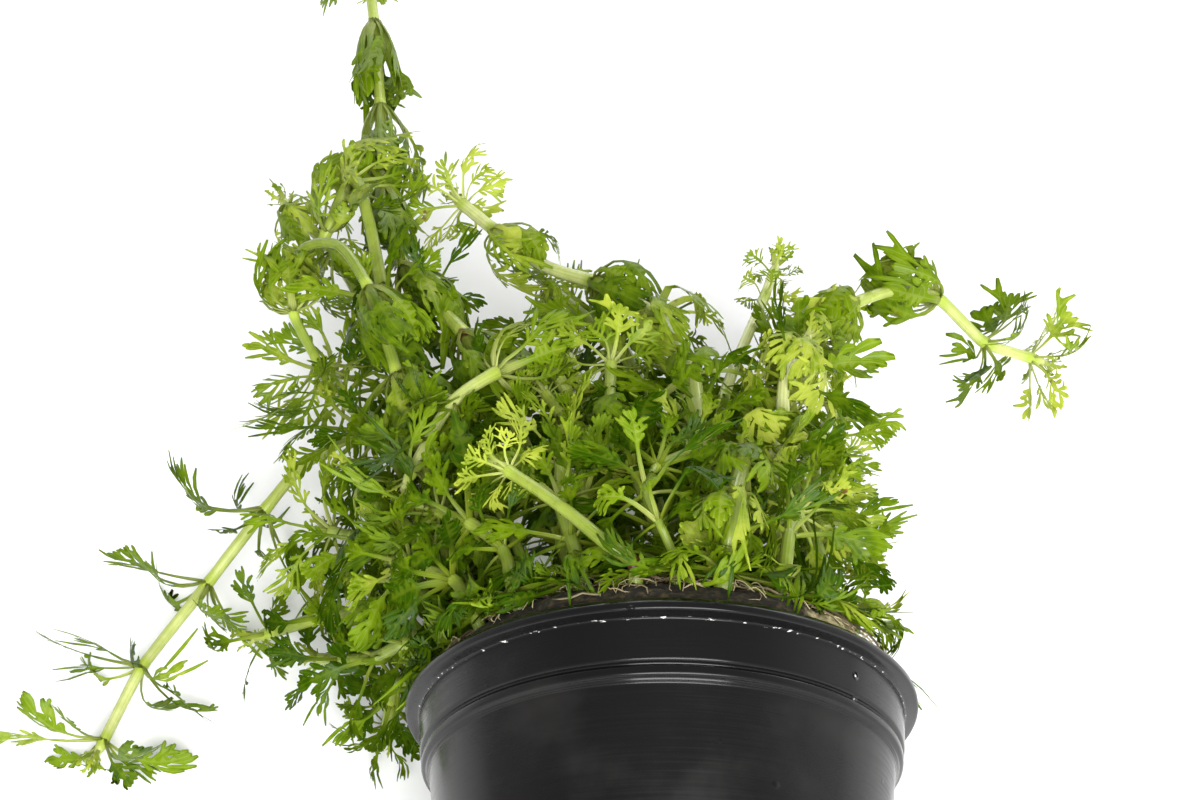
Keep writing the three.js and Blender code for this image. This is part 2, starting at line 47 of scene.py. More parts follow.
# The pot is a thin black nursery pot of moulded polypropylene: a tapered cup with a rolled lip, a plain
# collar, a stacking bead and a drain hole. It lies on a point of its lip and a point of its foot, so
# its axis leans by the taper, and it is scuffed by handling, with fine scratches round the wall.
LIP_RADIUS = 46
BASE_RADIUS = 33
POT_HEIGHT = 80
WALL = 1.2
LIP_DEPTH = 2.8
COLLAR = POT_HEIGHT - 10.5
BEAD = POT_HEIGHT - 13.2
FLAT = math.cos(math.pi / 28)
LEAN = math.atan(FLAT * (LIP_RADIUS - BASE_RADIUS) / (POT_HEIGHT - LIP_DEPTH))
ALONG_POT = np.array([0, math.cos(LEAN), math.sin(LEAN)])
UP_MOUTH = np.array([0, -math.sin(LEAN), math.cos(LEAN)])
ACROSS_MOUTH = np.array([1.0, 0, 0])
pot_low, pot_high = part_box("pot")
MOUTH = np.array([
    (pot_low[0] + pot_high[0]) / 2 / MM,
    pot_high[1] / MM - FLAT * (LIP_RADIUS - 0.7) * math.sin(LEAN),
    FLAT * LIP_RADIUS * math.cos(LEAN) + LIP_DEPTH * math.sin(LEAN),
])


def from_mouth(across, up, out):
    """Points in millimetres from the mouth's centre: across, up the mouth, and out along the axis."""
    across, up, out = (np.asarray(v, float)[..., None] for v in (across, up, out))
    return MOUTH + across * ACROSS_MOUTH + up * UP_MOUTH + out * ALONG_POT


def make_piece(name, points, faces, materials, face_materials=None, marks=None):
    """A smooth mesh from points in millimetres, with a crease where the mark "rim" is 1."""
    mesh = bpy.data.meshes.new(name)
    corners = np.concatenate([f.ravel() for f in faces]).astype(np.int32)
    sizes = np.concatenate([np.full(len(f), f.shape[1]) for f in faces]).astype(np.int32)
    mesh.vertices.add(len(points))
    mesh.vertices.foreach_set("co", (np.asarray(points) * MM).astype(np.float32).ravel())
    mesh.loops.add(len(corners))
    mesh.loops.foreach_set("vertex_index", corners)
    mesh.polygons.add(len(sizes))
    starts = np.concatenate([[0], np.cumsum(sizes)[:-1]]).astype(np.int32)
    mesh.polygons.foreach_set("loop_start", starts)
    if face_materials is not None:
        mesh.polygons.foreach_set("material_index", np.asarray(face_materials, np.int32))
    for mark, values in (marks or {}).items():
        layer = mesh.attributes.new(mark, "FLOAT", "POINT")
        layer.data.foreach_set("value", np.asarray(values, np.float32))
    mesh.update(calc_edges=True)
    mesh.validate()
    mesh.shade_smooth()
    if "rim" in (marks or {}):
        ends = np.empty(len(mesh.edges) * 2, np.int32)
        mesh.edges.foreach_get("vertices", ends)
        creased = (np.asarray(marks["rim"])[ends.reshape(-1, 2)] == 1).all(1)
        mesh.attributes.new("sharp_edge", "BOOLEAN", "EDGE").data.foreach_set("value", creased)
    for material in materials:
        mesh.materials.append(material)
    piece = bpy.data.objects.new(name, mesh)
    bpy.context.collection.objects.link(piece)
    return piece


def grid_faces(rows, columns, closed_round=True):
    """Quads between rows of points, each row a ring of columns."""
    row = np.arange(rows - 1)[:, None]
    column = np.arange(columns if closed_round else columns - 1)[None, :]
    following = (column + 1) % columns
    low = row * columns
    high = low + columns
    quads = np.stack([low + column, low + following, high + following, high + column], -1)
    return quads.reshape(-1, 4)


def rounded_outline(corners, steps=4):
    """A closed outline through corners (radius, height, rounding), each rounded by a short arc."""
    outline = []
    for i, (radius, height, rounding) in enumerate(corners):
        corner = np.array([radius, height], float)
        before = np.array(corners[i - 1][:2], float)
        after = np.array(corners[(i + 1) % len(corners)][:2], float)
        if not rounding:
            outline.append(corner)
            continue
        start = corner + (before - corner) / np.linalg.norm(before - corner) * rounding
        end = corner + (after - corner) / np.linalg.norm(after - corner) * rounding
        for share in np.linspace(0, 1, steps + 1):
            arc = (1 - share) ** 2 * start + 2 * share * (1 - share) * corner + share ** 2 * end
            outline.append(arc)
    return np.array(outline)


pot_outline = rounded_outline([
    (6, 1.5, 0),
    (BASE_RADIUS - 2.5, 1.5, 0.4),
    (BASE_RADIUS - 2.5, 0, 0.3),
    (BASE_RADIUS, 0, 0.6),
    (41.5, BEAD - 0.9, 0.3),
    (41.9, BEAD - 0.7, 0.2),
    (42.1, BEAD - 0.3, 0.2),
    (42.9, BEAD, 0.5),
    (42.9, COLLAR - 1.1, 0.5),
    (42.3, COLLAR - 0.9, 0.3),
    (42.4, COLLAR - 0.5, 0.3),
    (43.2, COLLAR - 0.2, 0.5),
    (43.5, POT_HEIGHT - LIP_DEPTH - 0.5, 0.4),
    (44.3, POT_HEIGHT - LIP_DEPTH - 0.3, 0.3),
    (LIP_RADIUS, POT_HEIGHT - LIP_DEPTH, 0.5),
    (LIP_RADIUS, POT_HEIGHT - 1.5, 0.5),
    (LIP_RADIUS - 1.5, POT_HEIGHT, 0.7),
    (LIP_RADIUS - 2.6, POT_HEIGHT, 0.5),
    (42.4, POT_HEIGHT - 3.8, 0.6),
    (42, COLLAR, 0.4),
    (40.3, BEAD - 1, 0.4),
    (BASE_RADIUS - WALL, 2.7, 0.8),
    (6, 2.7, 0),
])
POT_SIDES = 144
turns = np.linspace(0, 2 * math.pi, POT_SIDES, endpoint=False)
pot_points = from_mouth(
    FLAT * pot_outline[:, :1] * np.cos(turns),
    FLAT * pot_outline[:, :1] * np.sin(turns),
    np.repeat(pot_outline[:, 1:] - POT_HEIGHT, POT_SIDES, 1),
).reshape(-1, 3)
pot_quads = grid_faces(len(pot_outline), POT_SIDES)
last_row = (len(pot_outline) - 1) * POT_SIDES
ring = np.arange(POT_SIDES)
following = (ring + 1) % POT_SIDES
pot_seam = np.stack([last_row + ring, last_row + following, following, ring], -1)


def new_material(name, colour, roughness):
    material = bpy.data.materials.new(name)
    material.use_nodes = True
    shader = material.node_tree.nodes["Principled BSDF"]
    shader.inputs["Base Color"].default_value = (*colour, 1)
    shader.inputs["Roughness"].default_value = roughness
    return material, material.node_tree, shader


def add_node(tree, kind, inputs=None, **settings):
    """A node with its settings, and its inputs given as values or as sockets to link."""
    node = tree.nodes.new(kind)
    for key, value in settings.items():
        setattr(node, key, value)
    for key, value in (inputs or {}).items():
        if isinstance(value, bpy.types.NodeSocket):
            tree.links.new(value, node.inputs[key])
        else:
            node.inputs[key].default_value = value
    return node


def ramp(tree, source, low, high, bottom=0.0, top=1.0):
    """A smooth step of a value from low to high."""
    node = add_node(tree, "ShaderNodeMapRange", {"Value": source, "From Min": low, "From Max": high,
                                                 "To Min": bottom, "To Max": top},
                    interpolation_type="SMOOTHSTEP")
    return node.outputs["Result"]


def blend_colour(tree, factor, one, two):
    node = add_node(tree, "ShaderNodeMix", data_type="RGBA")
    for socket, value in zip((node.inputs[0], node.inputs[6], node.inputs[7]), (factor, one, two)):
        if isinstance(value, bpy.types.NodeSocket):
            tree.links.new(value, socket)
        else:
            socket.default_value = value if isinstance(value, float) else (*value, 1)
    return node.outputs[2]


def reckon(tree, operation, one, two):
    return add_node(tree, "ShaderNodeMath", {0: one, 1: two}, operation=operation).outputs[0]


def cloud(tree, place, scale, detail):
    """A cloudy noise, from 0 to 1."""
    inputs = {"Vector": place, "Scale": scale, "Detail": detail}
    return add_node(tree, "ShaderNodeTexNoise", inputs).outputs[0]


def bump(tree, height, distance, strength, **under):
    """The normal of a bumpy surface, over the one given as Normal where there is one."""
    inputs = {"Height": height, "Distance": distance, "Strength": strength, **under}
    return add_node(tree, "ShaderNodeBump", inputs).outputs[0]


black_plastic, tree, shader = new_material("black_plastic", (0.006, 0.006, 0.006), 0.36)
shader.inputs["Specular IOR Level"].default_value = 0.18
place = add_node(tree, "ShaderNodeTexCoord").outputs["Object"]
upright = add_node(tree, "ShaderNodeMapping", {"Vector": place, "Rotation": (-LEAN, 0, 0)}).outputs[0]
round_wall = add_node(tree, "ShaderNodeMapping", {"Vector": upright, "Scale": (60, 2600, 60)}).outputs[0]
scratches = cloud(tree, round_wall, 1.0, 3.0)
handling = cloud(tree, place, 45.0, 5.0)
waves = cloud(tree, place, 60.0, 2.0)
specks = add_node(tree, "ShaderNodeTexVoronoi", {"Vector": place, "Scale": 210.0})
speck_chance = add_node(tree, "ShaderNodeSeparateColor", {"Color": specks.outputs["Color"]}).outputs[0]
speck_dome = ramp(tree, specks.outputs["Distance"], 0.2, 0.05)
speck = reckon(tree, "MULTIPLY", speck_dome, ramp(tree, speck_chance, 0.86, 0.9))
smear = ramp(tree, handling, 0.5, 0.72)
colour = blend_colour(tree, smear, (0.0045, 0.0045, 0.0045), (0.011, 0.0105, 0.01))
along = add_node(tree, "ShaderNodeSeparateXYZ", {"Vector": upright}).outputs[1]
# Painted highlight: thin white dashes are painted into the groove under the lip, where light would sparkle on
# water.
GROOVE = (MOUTH @ ALONG_POT - LIP_DEPTH - 0.6) * MM
from_groove = reckon(tree, "ABSOLUTE", reckon(tree, "SUBTRACT", along, GROOVE), 0.0)
in_groove = ramp(tree, from_groove, 0.00022, 0.00008)
dashes = add_node(tree, "ShaderNodeMapping", {"Vector": place, "Scale": (0.35, 1, 1)}).outputs[0]
painted_glint_noise = cloud(tree, dashes, 1500.0, 3.0)
painted_glints = reckon(tree, "MULTIPLY", in_groove, ramp(tree, painted_glint_noise, 0.6, 0.66))
# Painted highlight: a white point is painted at the centre of some of the specks.
painted_speck_highlight = reckon(tree, "MULTIPLY", ramp(tree, specks.outputs["Distance"], 0.06, 0.03), speck)
painted_glints = reckon(tree, "ADD", painted_glints, painted_speck_highlight)
# The near-white colour here is the painted highlight of the groove dashes and the speck centres.
colour = blend_colour(tree, painted_glints, colour, (0.55, 0.55, 0.53))
rough = reckon(tree, "ADD", ramp(tree, scratches, 0.3, 0.75, 0.2, 0.3),
               ramp(tree, handling, 0.35, 0.7, -0.05, 0.12))
rough = reckon(tree, "SUBTRACT", rough, reckon(tree, "MULTIPLY", speck, 0.25))
tree.links.new(colour, shader.inputs["Base Color"])
tree.links.new(rough, shader.inputs["Roughness"])
fine = bump(tree, scratches, 0.00002, 0.3)
broad = bump(tree, waves, 0.0004, 0.15, Normal=fine)
tree.links.new(bump(tree, speck, 0.0003, 1.0, Normal=broad), shader.inputs["Normal"])

pot = make_piece("nursery_pot", pot_points, [np.concatenate([pot_quads, pot_seam])], [black_plastic])
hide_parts("pot")
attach(pot, "root")

# The growing medium is a plug of rock wool, pushed into the pot when the stems were potted. It swells
# out of the mouth, straw-coloured over the right of it and nearly black in patches across a broad band
# centred left of its middle, with loose fibres and old roots lying over it.
PLUG_RADIUS = LIP_RADIUS - 3.9
PLUG_BULGE = 10.5
PLUG_LUMP = 1.6


def plug_bulge(across, up):
    reach = np.minimum(1, np.hypot(across, up) / PLUG_RADIUS)
    wave = np.sin(across * 0.17 + 1.3) * np.cos(up * 0.15 - across * 0.06)
    lump = 0.5 + 0.5 * wave
    return PLUG_BULGE * np.sqrt(1 - reach ** 4) - PLUG_LUMP * lump * np.sqrt(1 - reach)


def crumb(point, size):
    return noise.fractal(Vector(point) / size, 0.7, 2.0, 4)


def unit_rows(rows):
    return rows / np.maximum(np.linalg.norm(rows, axis=1, keepdims=True), 1e-9)


def cap_faces(rows, sides):
    """Triangles that close both ends of a tube, to the two middle points that follow its rings."""
    ring = np.arange(sides)
    following = np.roll(ring, -1)
    end = (rows - 1) * sides
    middle = np.full(sides, rows * sides)
    return np.concatenate([np.stack([following, ring, middle], -1),
                           np.stack([end + ring, end + following, middle + 1], -1)])


def tube_rings(line, one, two, radii, sides):
    """Rings of points round a line, in the plane of the directions one and two at each of its places."""
    angles = np.linspace(0, 2 * math.pi, sides, endpoint=False)[None, :, None]
    return line[:, None] + np.asarray(radii)[:, None, None] * (
        one[:, None] * np.cos(angles) + two[:, None] * np.sin(angles))


PLUG_SIDES = 110
plug_turns = np.linspace(0, 2 * math.pi, PLUG_SIDES, endpoint=False)
plug_rows = []
for radius, out in [(BASE_RADIUS - WALL - 0.35, 3.05 - POT_HEIGHT), (39.9, -14.2), (41.6, -10.5),
                    (PLUG_RADIUS - 0.3, -2.8), (PLUG_RADIUS - 0.3, 0)]:
    plug_rows.append(from_mouth(radius * np.cos(plug_turns), radius * np.sin(plug_turns),
                                np.full(PLUG_SIDES, out)))
for share in np.linspace(0.985, 0.03, 36) ** 0.8:
    across = share * PLUG_RADIUS * np.cos(plug_turns)
    up = share * PLUG_RADIUS * np.sin(plug_turns)
    out = plug_bulge(across, up) - 0.6
    rough_out = [crumb((x, y, 3.0), 2.4) * 0.9 + crumb((x, y, 40.0), 7.0) * 0.8 for x, y in zip(across, up)]
    plug_rows.append(from_mouth(across, up, out + np.array(rough_out)))
plug_points = np.concatenate([*plug_rows, plug_rows[0].mean(0)[None], plug_rows[-1].mean(0)[None]])
plug_quads = grid_faces(len(plug_rows), PLUG_SIDES)
plug_caps = cap_faces(len(plug_rows), PLUG_SIDES)


def strand(line, radii, sides=3):
    """A thin strand along a line of points, closed to a point at both ends."""
    line = np.asarray(line, float)
    along = unit_rows(np.gradient(line, axis=0))
    one = unit_rows(np.cross(along, [0.3, 0.2, 0.93]))
    rings = tube_rings(line, one, np.cross(along, one), radii, sides)
    points = np.concatenate([rings.reshape(-1, 3), line[:1], line[-1:]])
    return points, grid_faces(len(line), sides), cap_faces(len(line), sides)


def join_parts(parts):
    """Joins (points, quads, tris, marks) parts into one set of arrays."""
    points, quads, tris, marks = [], [], [], []
    count = 0
    for part_points, part_quads, part_tris, part_marks in parts:
        points.append(part_points)
        quads.append(part_quads + count)
        tris.append(part_tris + count)
        marks.append(part_marks)
        count += len(part_points)
    return np.concatenate(points), np.concatenate(quads), np.concatenate(tris), np.concatenate(marks)


wool, tree, shader = new_material("rock_wool_with_dark_band", (0.3, 0.25, 0.13), 0.9)
place = add_node(tree, "ShaderNodeTexCoord").outputs["Object"]
side_to_side = add_node(tree, "ShaderNodeSeparateXYZ", {"Vector": place}).outputs[0]
patches = cloud(tree, place, 110.0, 6.0)
crumbs = cloud(tree, place, 900.0, 4.0)
# The plug is nearly black in patches across a band centred 14 mm left of the mouth's middle, fading out 30 to
# 46 mm from it.
DARK_BAND_MIDDLE = (MOUTH[0] - 14) * MM
from_dark_band = reckon(tree, "ABSOLUTE", reckon(tree, "SUBTRACT", side_to_side, DARK_BAND_MIDDLE), 0.0)
dark_band = reckon(tree, "ADD", ramp(tree, from_dark_band, 0.03, 0.046, 0.75, 0.0), patches)
dark_band = ramp(tree, dark_band, 0.62, 0.8)
clean = blend_colour(tree, ramp(tree, crumbs, 0.35, 0.7), (0.22, 0.17, 0.07), (0.6, 0.52, 0.3))
dark = blend_colour(tree, ramp(tree, crumbs, 0.4, 0.75), (0.012, 0.009, 0.005), (0.07, 0.05, 0.02))
tree.links.new(blend_colour(tree, dark_band, clean, dark), shader.inputs["Base Color"])
tree.links.new(bump(tree, crumbs, 0.0006, 0.8), shader.inputs["Normal"])

fibre, tree, shader = new_material("wool_fibres_and_old_roots", (0.5, 0.42, 0.22), 0.7)
darkness = add_node(tree, "ShaderNodeAttribute", attribute_name="darkness").outputs["Fac"]
tree.links.new(blend_colour(tree, darkness, (0.55, 0.47, 0.26), (0.05, 0.024, 0.008)), shader.inputs["Base Color"])

STRANDS = 900
OLD_ROOT_EVERY = 6
STRAND_PLACES = 7
STRAND_TAPER = np.array([0.6, 1, 1, 1, 1, 0.9, 0.5])
chance = np.random.default_rng(8)
strands = []
for number in range(STRANDS):
    old_root = number % OLD_ROOT_EVERY == 0
    angle = chance.uniform(0, 2 * math.pi)
    reach = PLUG_RADIUS * math.sqrt(chance.uniform(0.02, 0.96))
    start = np.array([reach * math.cos(angle), reach * math.sin(angle)])
    heading = chance.uniform(0, 2 * math.pi)
    length = chance.uniform(7, 16) if old_root else chance.uniform(3, 9)
    spots = [start]
    for _ in range(STRAND_PLACES - 1):
        heading += chance.normal(0, 0.55)
        spots.append(spots[-1] + np.array([math.cos(heading), math.sin(heading)]) * length / STRAND_PLACES)
    spots = np.array(spots)
    spots *= np.minimum(1, (PLUG_RADIUS - 0.4) / np.maximum(np.hypot(spots[:, 0], spots[:, 1]), 0.1))[:, None]
    arch = np.sin(np.linspace(0, math.pi, STRAND_PLACES))
    hover = chance.uniform(0.1, 0.7) + arch * chance.uniform(0.2, 1.6)
    line = from_mouth(spots[:, 0], spots[:, 1], plug_bulge(spots[:, 0], spots[:, 1]) - 0.2 + hover)
    thick = chance.uniform(0.22, 0.42) if old_root else chance.uniform(0.07, 0.16)
    points, quads, tris = strand(line, thick * STRAND_TAPER)
    # Fibres near the middle across the mouth are darker, like the plug under them; old roots are dark
    # anywhere.
    dark_side = abs(start[0] - 2) < 18
    shade = chance.uniform(0.55, 1) if old_root else chance.uniform(0, 0.35) + (0.4 if dark_side else 0)
    strands.append((points, quads, tris, np.full(len(points), shade)))
fibre_points, fibre_quads, fibre_tris, fibre_darkness = join_parts(strands)
plug_count = len(plug_points)
medium = make_piece(
    "rock_wool_plug",
    np.concatenate([plug_points, fibre_points]),
    [plug_quads, plug_caps, fibre_quads + plug_count, fibre_tris + plug_count],
    [wool, fibre],
    np.concatenate([np.zeros(len(plug_quads) + len(plug_caps)), np.ones(len(fibre_quads) + len(fibre_tris))]),
    {"darkness": np.concatenate([np.zeros(plug_count), fibre_darkness])},
)
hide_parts("growing_medium")
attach(medium, "root")

# Each stem is one living shoot: a smooth, pale, round stem with a slight swelling at every joint, and at
# each joint a ring of about ten leaves on long flat stalks. A blade is cut like a comb into narrow
# lobes that lean towards its tip, broad and dark on old growth, thin and yellow-green on young.
NOMINAL_LENGTH = 20.0
NOMINAL_HALF = 4.0
LEAF_FORMS = {
    # pairs of lobes, stalk's share of the length, lean of the first and last pair from the midrib, web's
    # share of the reach, lobe's width, half width of the stalk, chance of a forked lobe
    "blade": dict(pairs=5, stalk=0.4, lean=(42, 24), web=0.66, lobe=1.5, strap=0.85, fork=0.0),
    "broad": dict(pairs=4, stalk=0.42, lean=(42, 18), web=0.34, lobe=1.3, strap=0.55, fork=0.35),
    "comb": dict(pairs=4, stalk=0.46, lean=(40, 17), web=0.24, lobe=1.0, strap=0.45, fork=0.35),
    "strap": dict(pairs=4, stalk=0.54, lean=(34, 18), web=0.46, lobe=1.3, strap=0.8, fork=0.0),
    "slim": dict(pairs=3, stalk=0.52, lean=(24, 11), web=0.22, lobe=0.8, strap=0.42, fork=0.0),
    "feather": dict(pairs=4, stalk=0.42, lean=(46, 20), web=0.17, lobe=0.85, strap=0.38, fork=0.4),
    "young": dict(pairs=2, stalk=0.3, lean=(30, 20), web=0.4, lobe=1.6, strap=0.9, fork=0.0),
}
# How far the pairs of lobes reach, from the stalk to the tip, and the share of the length that they end at
REACHES = [0.62, 0.95, 1.0, 0.86, 0.5]
BLADE_END = 0.86
# The steps of a lobe, as shares of its reach and of its width, and its lean where it forks off another
LOBE_STEPS = ((0.4, 1.0), (0.3, 1.06), (0.3, 0.5))
LOBE_THICKNESS = 0.07
FORK_LEAN = math.radians(36)
# The leaf's tip: the share of the length, of a lobe's width, and the thickness
TIP_STEPS = ((0.91, 0.62, 0.08), (0.97, 0.6, 0.07), (1.0, 0.25, 0.05))


class LeafPattern:
    """A flat leaf of nominal size, built once and then bent to each place that it grows in."""

    def __init__(self, form, chance):
        self.points, self.quads, self.tris, self.rims = [], [], [], []
        self.chance = chance
        self.build(form)
        self.points = np.array(self.points)
        self.quads = np.array(self.quads)
        self.tris = np.array(self.tris)
        self.rims = np.array(self.rims)

    def add(self, across, along, lift, rim):
        self.points.append((across, along, lift))
        self.rims.append(rim)
        return len(self.points) - 1

    def cut(self, middle, angle, left, right, thick, lift=0.0, skew=0.0):
        """Four points round a cut across a heading: its left edge, top, right edge and underside."""
        ahead = np.array([math.sin(angle), math.cos(angle)])
        square = np.array([ahead[1], -ahead[0]])
        left_edge = middle - square * left + ahead * skew
        right_edge = middle + square * right - ahead * skew
        return [self.add(*left_edge, lift, 1), self.add(*middle, lift + thick, 0),
                self.add(*right_edge, lift, 1), self.add(*middle, lift - thick, 0)]

    def strip(self, one, two, left_lobe=None, right_lobe=None):
        """The skin between two cuts, with an opening in an edge where a lobe grows."""
        left, top, right, under = one
        left_on, top_on, right_on, under_on = two
        if left_lobe:
            high, low = left_lobe
            self.tris += [[left, top, high], [left, low, under]]
            self.quads += [[high, top, top_on, left_on], [low, left_on, under_on, under]]
        else:
            self.quads += [[left, top, top_on, left_on], [left, left_on, under_on, under]]
        if right_lobe:
            high, low = right_lobe
            self.tris += [[top, right, high], [under, low, right]]
            self.quads += [[top, high, right_on, top_on], [under, under_on, right_on, low]]
        else:
            self.quads += [[top, right, right_on, top_on], [under, under_on, right_on, right]]

    def lobe(self, side, rear, front, angle, reach, width, fork):
        """A lobe that grows out of the left edge for a side of -1 and out of the right edge for 1."""
        base = (np.array(self.points[rear]) + np.array(self.points[front])) / 2
        opening = [self.add(base[0], base[1], base[2] + lift, 0)
                   for lift in (LOBE_THICKNESS, -LOBE_THICKNESS)]
        last = [rear, opening[0], front, opening[1]] if side < 0 else [front, opening[0], rear, opening[1]]
        bow = side * math.radians(self.chance.normal(-6, 7))
        rise = self.chance.normal(0, 0.3)
        middle = base[:2]
        for k, (share, span) in enumerate(LOBE_STEPS):
            heading = angle + bow * k
            middle = middle + np.array([math.sin(heading), math.cos(heading)]) * reach * share
            half = width / 2 * span
            thick = LOBE_THICKNESS * (1 - 0.3 * k)
            row = self.cut(middle, heading, half, half, thick, base[2] + rise * k / 2)
            forks = [None, None]
            if k == 1 and fork:
                for number, edge, edge_side in ((0, 0, -1), (1, 2, 1)):
                    outer = edge_side == side
                    if self.chance.uniform() < (fork if outer else fork * 0.5):
                        forks[number] = self.lobe(edge_side, last[edge], row[edge],
                                                  heading + edge_side * FORK_LEAN, reach * 0.42,
                                                  width * 0.72, 0)
            self.strip(last, row, *forks)
            last = row
        self.quads.append(last)
        return opening

    def build(self, form):
        stalk_end = form["stalk"] * NOMINAL_LENGTH
        strap = form["strap"]
        cuts = []
        for k, along in enumerate(np.linspace(0, stalk_end - 0.6, 4)):
            half = strap * (1.15 - 0.1 * k)
            cuts.append(self.cut(np.array([0, along]), 0, half, half, 0.34 - 0.04 * k))
        for one, two in zip(cuts, cuts[1:]):
            self.strip(one, two)
        last = cuts[-1]
        self.quads.append(cuts[0][::-1])
        pairs = form["pairs"]
        pitch = (BLADE_END * NOMINAL_LENGTH - stalk_end) / pairs
        for k in range(pairs):
            place = k / (pairs - 1)
            envelope = np.interp(place, np.linspace(0, 1, len(REACHES)), REACHES)
            lean = math.radians(np.interp(place, (0, 1), form["lean"]) + self.chance.normal(0, 5))
            along = stalk_end + k * pitch + self.chance.uniform(-0.12, 0.12) * pitch
            width = min(pitch * 0.9, form["lobe"] * self.chance.uniform(0.85, 1.2))
            web = [max(strap * 0.85, NOMINAL_HALF * form["web"] * envelope * self.chance.uniform(0.75, 1.2))
                   for _ in range(2)]
            thick = 0.13 - 0.05 * place
            skew = self.chance.uniform(-0.45, 0.45) * (pitch - width)
            rear_place = np.array([0, along + (pitch - width) / 2])
            rear = self.cut(rear_place, 0, web[0] * 0.9, web[1] * 0.9, thick, 0, skew)
            front = self.cut(np.array([0, along + (pitch + width) / 2]), 0, *web, thick, 0, skew)
            self.strip(last, rear)
            lobes = []
            for side, edge in ((-1, 0), (1, 2)):
                reach = NOMINAL_HALF * envelope * self.chance.uniform(0.7, 1.25) - web[edge // 2]
                reach = max(0.9, reach / math.sin(max(lean, 0.35)))
                lobes.append(self.lobe(side, rear[edge], front[edge], side * lean, reach, width,
                                       form["fork"]))
            self.strip(rear, front, *lobes)
            last = front
        for along, span, thick in TIP_STEPS:
            half = form["lobe"] * span
            tip = self.cut(np.array([0, along * NOMINAL_LENGTH]), 0, half, half, thick)
            self.strip(last, tip)
            last = tip
        self.quads.append(last)


PATTERNS_EACH = 5
chance = np.random.default_rng(21)
patterns = {name: [LeafPattern(form, chance) for _ in range(PATTERNS_EACH)]
            for name, form in LEAF_FORMS.items()}


def unit(vector):
    return vector / max(np.linalg.norm(vector), 1e-9)


def square_to(axis, hint=(0.3, 0.1, 0.9)):
    """Two directions square to an axis and to each other."""
    helper = unit(np.cross(axis, hint))
    return helper, np.cross(axis, helper)


def read_stem(node):
    """From a stem's solid: the centre and radius of each of its rings, and its leaves' main points."""
    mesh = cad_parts[node].data
    places = np.empty(len(mesh.vertices) * 3, np.float32)
    mesh.vertices.foreach_get("co", places)
    _, first, index = np.unique(np.round(places.reshape(-1, 3) * 1e6).astype(np.int64), axis=0,
                                return_index=True, return_inverse=True)
    index = index.ravel()
    places = places.reshape(-1, 3)[first].astype(float) / MM
    near = [set() for _ in places]
    for face in mesh.polygons:
        corners = [index[v] for v in face.vertices]
        for one, two in zip(corners, corners[1:] + corners[:1]):
            near[one].add(two)
            near[two].add(one)
    leaves, leaf_points = [], set()
    for tip in [v for v in range(len(places)) if len(near[v]) == 3]:
        three = list(near[tip])
        middles = [np.linalg.norm(places[three[k]] - (places[three[k - 1]] + places[three[k - 2]]) / 2)
                   for k in range(3)]
        rib = three.pop(int(np.argmin(middles)))
        one, two = three
        own = {tip, rib, one, two}
        root = (near[one] | near[two] | near[rib]) - own
        leaves.append({"tip": places[tip], "edges": (places[one], places[two]), "root": sorted(root)})
        leaf_points |= own
    inner = [v for v in range(len(places)) if v not in leaf_points]
    trunk = {v: near[v] - leaf_points for v in inner}
    for apex in inner:
        sides = len(trunk[apex])
        if sides not in (5, 6) or (len(inner) - 1) % sides:
            continue
        layers, seen = [[apex]], {apex}
        while True:
            following = set().union(*(trunk[v] for v in layers[-1])) - seen
            if not following:
                break
            layers.append(sorted(following))
            seen |= following
        if len(seen) == len(inner) and all(len(layer) == sides for layer in layers[1:]):
            break
    layers.reverse()
    rings = [(places[layer].mean(0), np.linalg.norm(places[layer] - places[layer].mean(0), axis=1).mean())
             for layer in layers]
    ring_of = {v: k for k, layer in enumerate(layers) for v in layer}
    for leaf in leaves:
        leaf["ring"] = min(ring_of[v] for v in leaf["root"])
        leaf["root"] = places[leaf["root"]].mean(0)
    return rings, leaves


def between(one, two, low, high, s):
    """What lies between one, found at low, and two, found at high."""
    return (high - s) / (high - low) * one + (s - low) / (high - low) * two


def smooth_line(points, step):
    """A smooth line through points, and each of its places counted in points from the first one.

    It is a Catmull-Rom curve, whose knots t are spaced by the square root of the distance."""
    points = np.asarray(points, float)
    padded = np.concatenate([[2 * points[0] - points[1]], points, [2 * points[-1] - points[-2]]])
    line, marks = [], []
    for k in range(len(points) - 1):
        p0, p1, p2, p3 = padded[k:k + 4]
        t = np.cumsum([0] + [max(np.linalg.norm(b - a), 1e-6) ** 0.5
                             for a, b in ((p0, p1), (p1, p2), (p2, p3))])
        count = max(1, int(round(np.linalg.norm(p2 - p1) / step)))
        for share in np.arange(count) / count:
            s = t[1] + share * (t[2] - t[1])
            a1 = between(p0, p1, t[0], t[1], s)
            a2 = between(p1, p2, t[1], t[2], s)
            a3 = between(p2, p3, t[2], t[3], s)
            b1 = between(a1, a2, t[0], t[2], s)
            b2 = between(a2, a3, t[1], t[3], s)
            line.append(between(b1, b2, t[1], t[2], s))
            marks.append(k + share)
    line.append(points[-1])
    marks.append(len(points) - 1)
    return np.array(line), np.array(marks)


